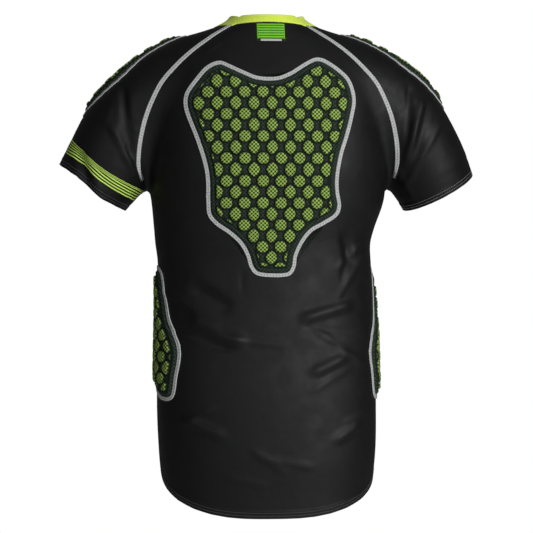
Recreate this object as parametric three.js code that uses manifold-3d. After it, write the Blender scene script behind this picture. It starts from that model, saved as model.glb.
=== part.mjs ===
// A short-sleeved padded compression shirt, filled out as if worn, with nobody in it.
// Millimetres. +Z is up, +Y is the back, +X is the wearer's left. The origin is in the middle of the
// neck opening, level with the points where the neck meets the shoulders.
// One smooth form is the outside of the cloth. Every piece is a set of points on that form, with a
// thickness: panels go inwards from it, tapes and pads lie on top of it.

import * as THREE from "three";
import { mergeVertices } from "three/addons/utils/BufferGeometryUtils.js";
import Module from "manifold-3d";

const wasm = await Module();
wasm.setup();

// Driving sizes
const clothWall = 1.2;
const seamGap = 0.4;
const tapeWall = 1;
const tapeLift = 0.4;
const padTapeLift = 0.8;
const tapeHalfWidth = 3.2;
const collarRise = 11.5;
const collarSideRise = 4;
const collarGap = 0.4;
const collarWall = 2;
const collarLift = 0.6;
const hemSideZ = -655;
const hemDropBack = 58;
const hemDropFront = 44;
const hemSideSoftness = 0.05;
const hemFullness = 1.85;
const neckBackZ = 1;
const neckFrontZ = -72;
const neckBackSquareness = 0.6;
const neckFrontSquareness = 0.75;
const sagLow = 1.6;
// How far the arm and the torso run into each other, over the shoulder and under the arm.
const shoulderBlend = 26;
const armpitBlend = 19.5;
const blendLowZ = -195;
const blendHighZ = -125;

// The body under the cloth, as level sections: half width, depth behind and before the axis, how
// square the section is (2 is an ellipse), and how far it is moved to the wearer's left.
const torsoRows = [
  { z: -790, half: 145, back: 97, front: 97, square: 2.3, shift: -1 },
  { z: -690, half: 152.5, back: 103, front: 101, square: 2.35, shift: -1 },
  { z: -625, half: 159, back: 107, front: 103, square: 2.35, shift: -1 },
  { z: -550, half: 161, back: 106, front: 102, square: 2.35, shift: 0 },
  { z: -470, half: 160, back: 98.5, front: 101, square: 2.35, shift: 0 },
  { z: -400, half: 158, back: 92.5, front: 100, square: 2.3, shift: 1 },
  { z: -345, half: 157, back: 93, front: 103, square: 2.3, shift: 3 },
  { z: -318, half: 158.5, back: 96, front: 106.5, square: 2.3, shift: 5 },
  { z: -300, half: 161.5, back: 98.5, front: 110, square: 2.35, shift: 3.5 },
  { z: -250, half: 172, back: 107, front: 116, square: 2.4, shift: -2 },
  { z: -210, half: 174, back: 113, front: 116, square: 2.4, shift: -2 },
  { z: -165, half: 172, back: 112, front: 107, square: 2.4, shift: -1 },
  { z: -120, half: 168, back: 106, front: 88, square: 2.4, shift: 0 },
  { z: -78, half: 163, back: 95, front: 68, square: 2.3, shift: 0 },
  { z: -45, half: 150, back: 82, front: 62, square: 2.2, shift: 0 },
  { z: -20, half: 118, back: 70, front: 60, square: 2.1, shift: 0 },
  { z: -8, half: 87, back: 63, front: 59, square: 2.1, shift: 0 },
  { z: 0, half: 69, back: 58, front: 58, square: 2.1, shift: 0 },
  { z: 14, half: 55, back: 51, front: 56, square: 2, shift: 0 },
  { z: 45, half: 52, back: 47, front: 53, square: 2, shift: 0 },
];

// Centres and radii down each shoulder and arm, from inside the neck to past the cuff. The garment
// hangs a little lower on its left shoulder and further out on its right. Widths are from the middle.
const leftLimbRows = [
  { x: 64, y: 5, z: -48, r: 38 },
  { x: 120, y: 5, z: -67, r: 44 },
  { x: 160, y: 4, z: -95, r: 52 },
  { x: 188, y: 0, z: -124, r: 57 },
  { x: 213, y: -6, z: -159, r: 61.5 },
  { x: 232.5, y: -13, z: -200, r: 63.5 },
  { x: 256, y: -22, z: -237, r: 58.5 },
  { x: 278, y: -30, z: -272, r: 54 },
];
const rightLimbRows = [
  { x: 64, y: 5, z: -48, r: 38 },
  { x: 120, y: 5, z: -65.5, r: 44 },
  { x: 161, y: 4, z: -92.5, r: 52.5 },
  { x: 190, y: 0, z: -120, r: 58.5 },
  { x: 214, y: -6, z: -158.5, r: 62.5 },
  { x: 237, y: -13, z: -200, r: 62 },
  { x: 257.5, y: -22, z: -242, r: 57.5 },
  { x: 277, y: -30, z: -278, r: 54 },
];
const cuffRow = 6;
const cuffRise = {
  left: { all: 0.05, most: 0.13, turn: 0.9 },
  right: { all: 0.01, most: 0.04, turn: 0.9 },
};
// How much further the left cuff hangs, by degrees round the arm: 0 is outwards and 90 the back.
const cuffDropRows = [
  { turn: -160, drop: 0 },
  { turn: -90, drop: 0 },
  { turn: -20, drop: 3 },
  { turn: 20, drop: 3.5 },
  { turn: 50, drop: 0 },
  { turn: 72, drop: -1 },
  { turn: 97, drop: 2.5 },
  { turn: 118, drop: 2.5 },
  { turn: 142, drop: 0 },
  { turn: 200, drop: 0 },
];
const armpitSearch = { nearX: 172, farX: 200, nearY: -30, farY: 0, topZ: -200, step: 1 };
// The level plane between back and front, in which rays to either start.
const midPlaneY = -11.5;
// Raglan seams as seen from behind and from the front, from the neck to just above the armpit.
const raglanBackRows = [
  { x: 56, z: -3 },
  { x: 101, z: -33 },
  { x: 128, z: -57 },
  { x: 151, z: -81 },
  { x: 167, z: -109 },
  { x: 178, z: -136 },
  { x: 185, z: -164 },
  { x: 188.5, z: -189 },
  { x: 189, z: -209 },
];
const raglanFrontRows = [
  { x: 63, z: -24 },
  { x: 98, z: -52 },
  { x: 124, z: -80 },
  { x: 144, z: -110 },
  { x: 159, z: -140 },
  { x: 169, z: -170 },
  { x: 177, z: -196 },
  { x: 180.5, z: -214 },
];

// The largest folds, each along a line seen from behind (or in front): a ridge where the height is
// positive, a trough where it is negative, fading at its sides and ends.
const foldRows = [
  { face: 1, x0: 112, z0: -428, x1: 40, z1: -462, height: 4.5, reach: 16 },
  { face: 1, x0: 110, z0: -382, x1: 60, z1: -415, height: -4, reach: 18 },
  { face: 1, x0: -46, z0: -428, x1: -116, z1: -408, height: 4.5, reach: 13 },
  { face: 1, x0: -108, z0: -306, x1: -116, z1: -348, height: -4.5, reach: 12 },
  { face: 1, x0: -60, z0: -505, x1: -108, z1: -484, height: 4, reach: 13 },
  { face: 1, x0: 122, z0: -574, x1: 70, z1: -594, height: 4, reach: 13 },
  { face: 1, x0: -94, z0: -602, x1: -130, z1: -580, height: 3.5, reach: 12 },
  { face: 1, x0: 212, z0: -92, x1: 200, z1: -190, height: -3.5, reach: 10 },
  { face: 1, x0: -222, z0: -108, x1: -204, z1: -200, height: 3.5, reach: 11 },
  { face: 1, x0: -206, z0: -88, x1: -202, z1: -165, height: -3, reach: 9 },
  { face: 1, x0: 276, z0: -184, x1: 262, z1: -234, height: -5, reach: 12 },
  { face: 1, x0: 254, z0: -220, x1: 240, z1: -262, height: 4, reach: 13 },
  { face: -1, x0: 120, z0: -300, x1: 40, z1: -345, height: -4, reach: 18 },
  { face: -1, x0: -112, z0: -305, x1: -45, z1: -352, height: 4, reach: 16 },
  { face: -1, x0: -112, z0: -440, x1: -40, z1: -468, height: 4, reach: 16 },
  { face: -1, x0: 112, z0: -441, x1: 48, z1: -418, height: 4, reach: 15 },
  { face: -1, x0: 212, z0: -144, x1: 206, z1: -190, height: -3.5, reach: 10 },
  { face: -1, x0: -214, z0: -148, x1: -208, z1: -190, height: -3.5, reach: 10 },
];
const foldEnd = 22;

// Pad outlines, each a closed curve through its rows. The tape runs along that curve.
const backPadRows = [
  { a: 4, b: -85.5 },
  { a: 22, b: -83.5 },
  { a: 40, b: -76 },
  { a: 59, b: -67 },
  { a: 73, b: -61.5 },
  { a: 89, b: -67.5 },
  { a: 106, b: -86 },
  { a: 120, b: -107.5 },
  { a: 121, b: -125 },
  { a: 104.5, b: -172.5 },
  { a: 95, b: -203 },
  { a: 90.5, b: -227 },
  { a: 89.5, b: -262 },
  { a: 87.5, b: -279 },
  { a: 78, b: -291 },
  { a: 59.5, b: -304 },
  { a: 42.5, b: -320 },
  { a: 33, b: -337 },
  { a: 28, b: -353 },
  { a: 21, b: -362 },
  { a: -1, b: -365.5 },
  { a: -26, b: -363 },
  { a: -32, b: -354 },
  { a: -35, b: -337 },
  { a: -43.5, b: -318 },
  { a: -56.5, b: -301.5 },
  { a: -76, b: -290 },
  { a: -93.5, b: -278 },
  { a: -97.5, b: -267 },
  { a: -94, b: -245 },
  { a: -93.5, b: -225 },
  { a: -99, b: -193.5 },
  { a: -108, b: -165 },
  { a: -116, b: -135 },
  { a: -119.5, b: -112.5 },
  { a: -112, b: -85.5 },
  { a: -97, b: -70.5 },
  { a: -75, b: -57 },
  { a: -65, b: -56 },
  { a: -50.5, b: -63 },
  { a: -29.5, b: -76.5 },
  { a: -12, b: -84 },
];
const sidePadRows = [
  { a: 5, b: -354 },
  { a: 22, b: -362 },
  { a: 31, b: -386 },
  { a: 45, b: -430 },
  { a: 61, b: -455 },
  { a: 69, b: -478 },
  { a: 66, b: -510 },
  { a: 60, b: -541 },
  { a: 40, b: -544 },
  { a: 0, b: -529 },
  { a: -36, b: -521 },
  { a: -52, b: -507 },
  { a: -58, b: -476 },
  { a: -54, b: -438 },
  { a: -42, b: -398 },
  { a: -24, b: -362 },
];
// The shoulder pads' rows give shares of their length, which differs from side to side.
const shoulderPadRows = [
  { share: 0, b: 2 },
  { share: 0.125, b: 14 },
  { share: 0.34, b: 20 },
  { share: 0.545, b: 29 },
  { share: 0.74, b: 24 },
  { share: 0.9, b: 14 },
  { share: 0.99, b: 0 },
  { share: 1, b: -26 },
  { share: 0.955, b: -62 },
  { share: 0.795, b: -84 },
  { share: 0.545, b: -92 },
  { share: 0.285, b: -84 },
  { share: 0.09, b: -62 },
  { share: 0, b: -30 },
];
const shoulderPadEnds = {
  left: { from: 0, to: 191 },
  right: { from: -9, to: 177 },
};
const sidePadRadius = 150;
const sidePadTurn = { left: 0.01, right: 0.15 };
const shoulderPadStart = 44;
const shoulderPadStretch = 1.27;
const shoulderPadRadius = 62;

// The foam cells of the pads: two kinds in turn, a round one and a taller pointed one.
const cellPitchA = 25.5;
const cellPitchB = 15.6;
const cellHeight = 4.4;
const padFloor = 3.4;
const padBorder = 11;
const cellTopShare = 0.72;
const leastCellArea = 60;
const padBow = 1e-4;
const backPadLift = 0.8;
const bentPadLift = 1.1;
const backPadPhase = { a: 0, b: -121.4 };
const bentPadPhase = { a: 0, b: 0 };
const roundCell = { across: 8.7, along: 8.7, sides: 8, turn: 0.5 };
const pointedCell = { across: 8.6, along: 10.2, sides: 6, turn: 0 };
const plainRoundCell = { across: 8.9, along: 8.9, sides: 6, turn: 0.5 };

const labelMiddleX = -1.6;
const labelHalfWidth = 22;
const labelTopZ = -0.4;
const labelHeight = 29;
const labelWall = 0.9;
const labelLift = 0.5;

// Mesh steps
const raglanSteps = 12;
const raglanCrowding = 1.45;
const torsoStepsBelowArmpit = 18;
const frontStepsBelowArmpit = 12;
const backColumns = 19;
const frontColumns = 15;
const sleeveColumns = 19;
const cuffSteps = 3;
const tapeStep = 16;
const evenShare = 0.4;
const besideShare = 0.25;

const vec = (x, y, z) => new THREE.Vector3(x, y, z);
const mix = THREE.MathUtils.lerp;
const clamp01 = (value) => THREE.MathUtils.clamp(value, 0, 1);

// Tables

// Reads a table between its rows: smooth, and never past the values of the two rows beside it.
function tableReader(rows, key) {
  const at = rows.map((row) => row[key]);
  const names = Object.keys(rows[0]).filter((name) => name !== key);
  const slopes = names.map((name) => {
    const secants = rows.slice(1).map((row, i) => (row[name] - rows[i][name]) / (at[i + 1] - at[i]));
    const inner = secants.slice(1).map((next, i) => {
      const last = secants[i];
      const most = 3 * Math.min(Math.abs(last), Math.abs(next));
      return last * next <= 0 ? 0 : THREE.MathUtils.clamp((last + next) / 2, -most, most);
    });
    return [secants[0], ...inner, secants[secants.length - 1]];
  });
  return (where) => {
    const w = THREE.MathUtils.clamp(where, at[0], at[at.length - 1]);
    let i = 0;
    while (i < at.length - 2 && w > at[i + 1]) i += 1;
    const span = at[i + 1] - at[i];
    const t = (w - at[i]) / span;
    const t2 = t * t;
    const t3 = t2 * t;
    const read = {};
    names.forEach((name, n) => {
      read[name] =
        (2 * t3 - 3 * t2 + 1) * rows[i][name] +
        (t3 - 2 * t2 + t) * span * slopes[n][i] +
        (3 * t2 - 2 * t3) * rows[i + 1][name] +
        (t3 - t2) * span * slopes[n][i + 1];
    });
    return read;
  };
}

// Adds to each row its distance along the line through the rows.
function withDistance(rows, ...axes) {
  let total = 0;
  return rows.map((row, i) => {
    if (i > 0) total += Math.hypot(...axes.map((axis) => row[axis] - rows[i - 1][axis]));
    return { ...row, distance: total };
  });
}

// The form

const torsoAt = tableReader(torsoRows, "z");

function torsoField(x, y, z) {
  const s = torsoAt(z);
  const depth = (s.back + s.front) / 2;
  const middle = (s.back - s.front) / 2;
  const across = Math.abs((x - s.shift) / s.half) ** s.square;
  const through = Math.abs((y - middle) / depth) ** s.square;
  return ((across + through) ** (1 / s.square) - 1) * Math.min(depth, s.half);
}

// One arm as a chain of short tapered links.
function makeLimb(rows) {
  const measured = withDistance(rows, "x", "y", "z");
  const length = measured[measured.length - 1].distance;
  const at = tableReader(measured, "distance");
  const links = [];
  const linkCount = 24;
  for (let i = 0; i <= linkCount; i += 1) links.push(at((length * i) / linkCount));
  return { at, links, cuff: measured[cuffRow].distance };
}
const limbs = { left: makeLimb(leftLimbRows), right: makeLimb(rightLimbRows) };

function limbField(limb, x, y, z) {
  let least = Infinity;
  for (let i = 1; i < limb.links.length; i += 1) {
    const a = limb.links[i - 1];
    const b = limb.links[i];
    const dx = b.x - a.x;
    const dy = b.y - a.y;
    const dz = b.z - a.z;
    const along = clamp01(
      ((x - a.x) * dx + (y - a.y) * dy + (z - a.z) * dz) / (dx * dx + dy * dy + dz * dz),
    );
    const away = Math.hypot(x - a.x - along * dx, y - a.y - along * dy, z - a.z - along * dz);
    least = Math.min(least, away - mix(a.r, b.r, along));
  }
  return least;
}

// Below zero inside the body, above zero outside it.
function form(x, y, z) {
  const torso = torsoField(x, y, z);
  const limb = limbField(x > 0 ? limbs.left : limbs.right, Math.abs(x), y, z);
  const up = THREE.MathUtils.smoothstep(z, blendLowZ, blendHighZ);
  const blend = mix(armpitBlend, shoulderBlend, up);
  const near = Math.max(blend - Math.abs(torso - limb), 0) / blend;
  return Math.min(torso, limb) - (near * near * blend) / 4;
}

// Where a ray from inside first leaves the form.
function surfaceAlong(origin, direction) {
  const stride = 6;
  const farthest = 420;
  const value = (t) =>
    form(origin.x + direction.x * t, origin.y + direction.y * t, origin.z + direction.z * t);
  let high = stride;
  while (value(high) < 0 && high < farthest) high += stride;
  let low = high - stride;
  for (let i = 0; i < 20; i += 1) {
    const half = (low + high) / 2;
    if (value(half) < 0) low = half;
    else high = half;
  }
  return origin.clone().addScaledVector(direction, low);
}

function normalAt(p) {
  const h = 0.5;
  return vec(
    form(p.x + h, p.y, p.z) - form(p.x - h, p.y, p.z),
    form(p.x, p.y + h, p.z) - form(p.x, p.y - h, p.z),
    form(p.x, p.y, p.z + h) - form(p.x, p.y, p.z - h),
  ).normalize();
}

// Moves a point that is near the form onto it.
function settled(p) {
  const h = 0.5;
  const q = p.clone();
  for (let i = 0; i < 8; i += 1) {
    const slope = vec(
      form(q.x + h, q.y, q.z) - form(q.x - h, q.y, q.z),
      form(q.x, q.y + h, q.z) - form(q.x, q.y - h, q.z),
      form(q.x, q.y, q.z + h) - form(q.x, q.y, q.z - h),
    ).divideScalar(2 * h);
    q.addScaledVector(slope, -form(q.x, q.y, q.z) / slope.lengthSq());
  }
  return q;
}

function foldHeight(p, normal) {
  let height = 0;
  for (const fold of foldRows) {
    const facing = clamp01(normal.y * fold.face * 2.5);
    const dx = fold.x1 - fold.x0;
    const dz = fold.z1 - fold.z0;
    const length = Math.hypot(dx, dz);
    const along = ((p.x - fold.x0) * dx + (p.z - fold.z0) * dz) / length;
    const away = Math.abs((p.x - fold.x0) * dz - (p.z - fold.z0) * dx) / length;
    const ends = clamp01(Math.min(along, length - along) / foldEnd + 0.5);
    if (facing > 0 && away < fold.reach && ends > 0) {
      const side = Math.cos((away / fold.reach) * Math.PI) / 2 + 0.5;
      height += fold.height * facing * side * ends * ends * (3 - 2 * ends);
    }
  }
  return height;
}

// A spot on the cloth: its point on the outer face, and the way out.
function clothSpot(onForm) {
  const normal = normalAt(onForm);
  return { point: onForm.clone().addScaledVector(normal, foldHeight(onForm, normal)), normal };
}

const lifted = (spot, lift) => spot.point.clone().addScaledVector(spot.normal, lift);

function towards(spot, other, distance) {
  const share = distance / spot.point.distanceTo(other.point);
  return { point: spot.point.clone().lerp(other.point, share), normal: spot.normal };
}

// Charts: ways of naming a place on the form

const torsoSpot = (angle, z) =>
  clothSpot(surfaceAlong(vec(0, 0, z), vec(Math.cos(angle), Math.sin(angle), 0)));

const facingSpot = (x, z, face) => clothSpot(surfaceAlong(vec(x, midPlaneY, z), vec(0, face, 0)));

// The middle line of a sleeve at a distance from the neck, with its directions: on towards the neck,
// out over the shoulder, and to the back. Side is 1 for the wearer's left and -1 for the right.
function sleeveFrame(side, distance) {
  const limb = side > 0 ? limbs.left : limbs.right;
  const step = 4;
  const here = limb.at(distance);
  const before = limb.at(distance - step);
  const after = limb.at(distance + step);
  const inward = vec(before.x - after.x, before.y - after.y, before.z - after.z).normalize();
  const outward = vec(inward.z, 0, -inward.x).normalize();
  const backward = inward.clone().cross(outward);
  const turnRound = (v) => v.setX(v.x * side);
  return {
    centre: turnRound(vec(here.x, here.y, here.z)),
    inward: turnRound(inward),
    outward: turnRound(outward),
    backward: turnRound(backward),
  };
}

function sleeveSpot(frame, turn, slant) {
  const direction = frame.outward
    .clone()
    .multiplyScalar(Math.cos(turn))
    .addScaledVector(frame.backward, Math.sin(turn))
    .addScaledVector(frame.inward, slant)
    .normalize();
  return clothSpot(surfaceAlong(frame.centre, direction));
}

// The turn and slant at which a sleeve's ray reaches a point.
function sleeveAim(frame, point) {
  const to = point.clone().sub(frame.centre);
  const out = to.dot(frame.outward);
  const back = to.dot(frame.backward);
  return { turn: Math.atan2(back, out), slant: to.dot(frame.inward) / Math.hypot(out, back) };
}

// Seams

// Under the arm the form is a saddle. The armpit is its middle: the lowest of the highest points.
function findArmpit(side) {
  const { nearX, farX, nearY, farY, topZ, step } = armpitSearch;
  let lowest = null;
  for (let y = nearY; y <= farY; y += step) {
    let highest = null;
    for (let x = nearX; x <= farX; x += step) {
      const under = surfaceAlong(vec(side * x, y, topZ), vec(0, 0, -1));
      if (!highest || under.z > highest.z) highest = under;
    }
    if (!lowest || highest.z < lowest.z) lowest = highest;
  }
  return lowest;
}

// How far up a raglan seam each row of panels meets it: the rows are closer together at the armpit.
const raglanShare = (i) => (i / raglanSteps) ** raglanCrowding;

// A raglan seam, from the armpit to the neck: its spots, and those a tape's half width to each side.
function raglanSeam(side, rows, face, armpit) {
  const toNeck = [{ x: Math.abs(armpit.x), z: armpit.z }, ...rows.toReversed()];
  const measured = withDistance(toNeck, "x", "z");
  const at = tableReader(measured, "distance");
  const length = measured[measured.length - 1].distance;
  const spots = [clothSpot(armpit)];
  for (let i = 1; i <= raglanSteps; i += 1) {
    const where = at(length * raglanShare(i));
    spots.push(facingSpot(side * where.x, where.z, face));
  }
  const beside = (toTorso) =>
    spots.map((spot, i) => {
      const before = spots[Math.max(i - 1, 0)].point;
      const after = spots[Math.min(i + 1, raglanSteps)].point;
      const across = spot.normal.clone().cross(after.clone().sub(before).normalize());
      across.multiplyScalar(side * face * -toTorso * tapeHalfWidth);
      if (i === 0) across.set(-toTorso * side, face, 0).multiplyScalar(tapeHalfWidth);
      return clothSpot(settled(spot.point.clone().add(across)));
    });
  return { spots, torsoSide: beside(1), sleeveSide: beside(-1) };
}

function seamsOf(side) {
  const armpit = findArmpit(side);
  return {
    armpit,
    back: raglanSeam(side, raglanBackRows, 1, armpit),
    front: raglanSeam(side, raglanFrontRows, -1, armpit),
  };
}
const seams = { left: seamsOf(1), right: seamsOf(-1) };

// Solids

// Joins loops or lists of points into a closed solid: a grid of outer points, the grid of inner points
// under it, and walls round the edge. Closed grids have rows that join end to end.
function wallGeometry(outer, inner, closed) {
  const rowCount = outer.length;
  const columnCount = outer[0].length;
  const positions = [];
  for (const grid of [outer, inner]) {
    for (const row of grid) for (const p of row) positions.push(p.x, p.y, p.z);
  }
  const underneath = rowCount * columnCount;
  const at = (r, c) => r * columnCount + (c % columnCount);
  const index = [];
  const quad = (a, b, c, d) => index.push(a, b, c, a, c, d);
  const lastColumn = closed ? columnCount : columnCount - 1;
  for (let r = 0; r < rowCount - 1; r += 1) {
    for (let c = 0; c < lastColumn; c += 1) {
      const corners = [at(r, c), at(r, c + 1), at(r + 1, c + 1), at(r + 1, c)];
      quad(...corners);
      quad(...corners.toReversed().map((corner) => corner + underneath));
    }
    if (!closed) {
      const e = columnCount - 1;
      quad(at(r, 0), at(r + 1, 0), at(r + 1, 0) + underneath, at(r, 0) + underneath);
      quad(at(r + 1, e), at(r, e), at(r, e) + underneath, at(r + 1, e) + underneath);
    }
  }
  for (let c = 0; c < lastColumn; c += 1) {
    const e = rowCount - 1;
    quad(at(0, c + 1), at(0, c), at(0, c) + underneath, at(0, c + 1) + underneath);
    quad(at(e, c), at(e, c + 1), at(e, c + 1) + underneath, at(e, c) + underneath);
  }
  const geometry = new THREE.BufferGeometry();
  geometry.setAttribute("position", new THREE.Float32BufferAttribute(positions, 3));
  geometry.setIndex(index);
  return outwardFacing(geometry);
}

// Turns every face round if the solid is inside out.
function outwardFacing(geometry) {
  const p = geometry.getAttribute("position");
  const index = geometry.getIndex();
  const corner = [vec(), vec(), vec()];
  let volume = 0;
  for (let i = 0; i < index.count; i += 3) {
    corner.forEach((v, k) => v.fromBufferAttribute(p, index.getX(i + k)));
    volume += corner[0].dot(corner[1].clone().cross(corner[2]));
  }
  if (volume < 0) geometry.setIndex([...index.array].reverse());
  geometry.computeVertexNormals();
  return geometry;
}

function wallOfSpots(rows, top, bottom, closed = false) {
  const grid = (lift) => rows.map((row) => row.map((spot) => lifted(spot, lift)));
  return wallGeometry(grid(top), grid(bottom), closed);
}

// Draws a panel's edges back from its seams by half the gap.
function partFromSeams(rows, { sides = true, firstRow = false, lastRow = true } = {}) {
  const half = seamGap / 2;
  const result = rows.map((row) => row.slice());
  if (sides) {
    result.forEach((row, r) => {
      const e = row.length - 1;
      row[0] = towards(rows[r][0], rows[r][1], half);
      row[e] = towards(rows[r][e], rows[r][e - 1], half);
    });
  }
  const ends = [];
  if (firstRow) ends.push([0, 1]);
  if (lastRow) ends.push([rows.length - 1, rows.length - 2]);
  for (const [r, next] of ends) {
    result[r] = result[r].map((spot, c) => towards(spot, result[next][c], half));
  }
  return result;
}

// A row of spots from start to stop. Its ends and the spots beside them are given where they are on
// seams; the others are evenly spaced on the chart.
function rowOfSpots(spotAt, start, stop, count, ends) {
  const spots = [];
  const last = count - 1;
  for (let c = 0; c <= last; c += 1) {
    const even = (c - 1 + besideShare) / (last - 2 + 2 * besideShare);
    spots.push(spotAt(mix(start, stop, clamp01(even))));
  }
  if (ends) {
    spots[0] = ends[0].spots[ends[2]];
    spots[1] = ends[0][ends[3]][ends[2]];
    spots[last] = ends[1].spots[ends[2]];
    spots[last - 1] = ends[1][ends[3]][ends[2]];
  }
  return spots;
}

// Torso panels

function hemZ(angle, drop) {
  const soft = hemSideSoftness;
  const away = (Math.hypot(Math.sin(angle), soft) - soft) / (Math.hypot(1, soft) - soft);
  return hemSideZ - drop * (1 - (1 - away) ** hemFullness);
}

// Rows from the hem to the armpit, then on up between the two raglan seams to the neck.
function torsoRowsOfSpots(face, stepsBelow, columns, drop, neckMiddleZ) {
  const key = face > 0 ? "back" : "front";
  const squareness = face > 0 ? neckBackSquareness : neckFrontSquareness;
  const leftSeam = seams.left[key];
  const rightSeam = seams.right[key];
  const armpitZ = (seams.left.armpit.z + seams.right.armpit.z) / 2;
  const rows = [];
  for (let i = 0; i < stepsBelow; i += 1) {
    const spotAt = (u) => {
      const angle = face * Math.PI * u;
      const level = mix(seams.left.armpit.z, seams.right.armpit.z, u);
      return torsoSpot(angle, mix(hemZ(angle, drop), level, i / stepsBelow));
    };
    rows.push(rowOfSpots(spotAt, 0, 1, columns));
  }
  for (let i = 0; i <= raglanSteps; i += 1) {
    const left = leftSeam.spots[i].point;
    const right = rightSeam.spots[i].point;
    const t = raglanShare(i);
    const middleZ = mix(armpitZ, neckMiddleZ, t);
    const spotAt = (u) => {
      const across = mix((1 - Math.cos(Math.PI * u)) / 2, u, mix(evenShare, 1, t));
      const sag = Math.max(Math.sin(Math.PI * across), 0) ** mix(sagLow, squareness, t);
      const level = mix(left.z, right.z, across);
      const z = mix(level, middleZ, face > 0 ? t * t * sag : t ** 3 * sag);
      return facingSpot(mix(left.x, right.x, across), z, face);
    };
    rows.push(rowOfSpots(spotAt, 0, 1, columns, [leftSeam, rightSeam, i, "torsoSide"]));
  }
  return rows;
}

// Sleeves

const cuffDropAt = tableReader(cuffDropRows, "turn");
const cuffRadius = leftLimbRows[cuffRow].r;

// A turn round the arm in degrees, brought into the reach of the cuff's table.
function turnDegrees(turn) {
  const degrees = THREE.MathUtils.radToDeg(turn);
  const first = cuffDropRows[0].turn;
  return THREE.MathUtils.euclideanModulo(degrees - first, 360) + first;
}

// Rows from the cuff to the armpit, right round the arm, then on up between the raglan seams.
function sleeveRowsOfSpots(side) {
  const seam = side > 0 ? seams.left : seams.right;
  const limb = side > 0 ? limbs.left : limbs.right;
  const offPlane = (distance) => {
    const frame = sleeveFrame(side, distance);
    return seam.armpit.clone().sub(frame.centre).dot(frame.inward);
  };
  let far = limb.cuff;
  let near = limb.cuff * 0.6;
  for (let i = 0; i < 20; i += 1) {
    const half = (near + far) / 2;
    if (offPlane(half) > 0) far = half;
    else near = half;
  }
  const rows = [];
  const addRow = (distance, from, to, ends) => {
    const frame = sleeveFrame(side, distance);
    const slantAt = (turn) => {
      const across = (turn - from.turn) / (to.turn - from.turn);
      const end = across < 0.5 ? from.slant : to.slant;
      return end * Math.abs(1 - 2 * across) ** 1.5;
    };
    const spotAt = (turn) => sleeveSpot(frame, turn, slantAt(turn));
    rows.push(rowOfSpots(spotAt, from.turn, to.turn, sleeveColumns, ends));
  };
  const fullTurn = 2 * Math.PI;
  const armpitTurn = sleeveAim(sleeveFrame(side, near), seam.armpit).turn;
  const underarm = armpitTurn < 0 ? armpitTurn + fullTurn : armpitTurn;
  for (let i = 0; i < cuffSteps; i += 1) {
    const share = i / cuffSteps;
    const frame = sleeveFrame(side, mix(limb.cuff, near, share));
    const rise = side > 0 ? cuffRise.left : cuffRise.right;
    const drop = (turn) => (side > 0 ? cuffDropAt(turnDegrees(turn)).drop / cuffRadius : 0);
    const slantAt = (turn) =>
      (rise.all + rise.most * Math.cos(turn - rise.turn) - drop(turn)) * (1 - share);
    const spotAt = (turn) => sleeveSpot(frame, turn, slantAt(turn));
    rows.push(rowOfSpots(spotAt, underarm, underarm - fullTurn, sleeveColumns));
  }
  for (let i = 0; i <= raglanSteps; i += 1) {
    const distance = mix(near, 0, raglanShare(i));
    const frame = sleeveFrame(side, distance);
    const from = sleeveAim(frame, seam.back.spots[i].point);
    const to = sleeveAim(frame, seam.front.spots[i].point);
    if (i === 0) from.turn = underarm;
    if (i === 0) to.turn = underarm - fullTurn;
    if (to.turn > from.turn) to.turn -= fullTurn;
    addRow(distance, from, to, [seam.back, seam.front, i, "sleeveSide"]);
  }
  return rows;
}

const backSpots = torsoRowsOfSpots(1, torsoStepsBelowArmpit, backColumns, hemDropBack, neckBackZ);
const frontSpots = torsoRowsOfSpots(-1, frontStepsBelowArmpit, frontColumns, hemDropFront, neckFrontZ);
const sleeveSpots = { left: sleeveRowsOfSpots(1), right: sleeveRowsOfSpots(-1) };

const panel = (rows) => wallOfSpots(partFromSeams(rows), 0, -clothWall);

// Collar

// The neckline is the top row of each panel in turn. The collar stands on it, following the neck.
function collarGeometry() {
  const last = (rows) => rows[rows.length - 1];
  const ring = [
    ...last(backSpots).slice(0, -1),
    ...last(sleeveSpots.right).slice(0, -1),
    ...last(frontSpots).toReversed().slice(0, -1),
    ...last(sleeveSpots.left).toReversed().slice(0, -1),
  ];
  const level = (share) =>
    ring.map((spot) => {
      const angle = Math.atan2(spot.point.y, spot.point.x);
      const rise = collarRise + collarSideRise * Math.cos(angle) ** 2;
      const foot = spot.point.z + collarGap;
      return share === 0
        ? towards(spot, torsoSpot(angle, foot + rise), collarGap)
        : torsoSpot(angle, foot + share * rise);
    });
  return wallOfSpots([level(0), level(1)], collarLift, collarLift - collarWall, true);
}

// Raglan tapes

// Each tape bridges a raglan seam: from the panel's first inner column over the seam to the sleeve's.
function raglanTape(side, key) {
  const torso = key === "back" ? backSpots : frontSpots;
  const sleeve = side > 0 ? sleeveSpots.left : sleeveSpots.right;
  const panelRows = torso.slice(-raglanSteps - 1);
  const sleeveRows = sleeve.slice(-raglanSteps - 1);
  const rows = panelRows.map((row, i) => {
    const panelSpot = side > 0 ? row[1] : row[row.length - 2];
    const sleeveRow = sleeveRows[i];
    const sleeveSide = key === "back" ? sleeveRow[1] : sleeveRow[sleeveRow.length - 2];
    const seamSpot = side > 0 ? row[0] : row[row.length - 1];
    return [panelSpot, seamSpot, sleeveSide];
  });
  const clearOfArmpit = rows.slice(2);
  const parted = partFromSeams(clearOfArmpit, { sides: false });
  return wallOfSpots(parted, tapeLift + tapeWall, tapeLift);
}

// Pads

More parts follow.
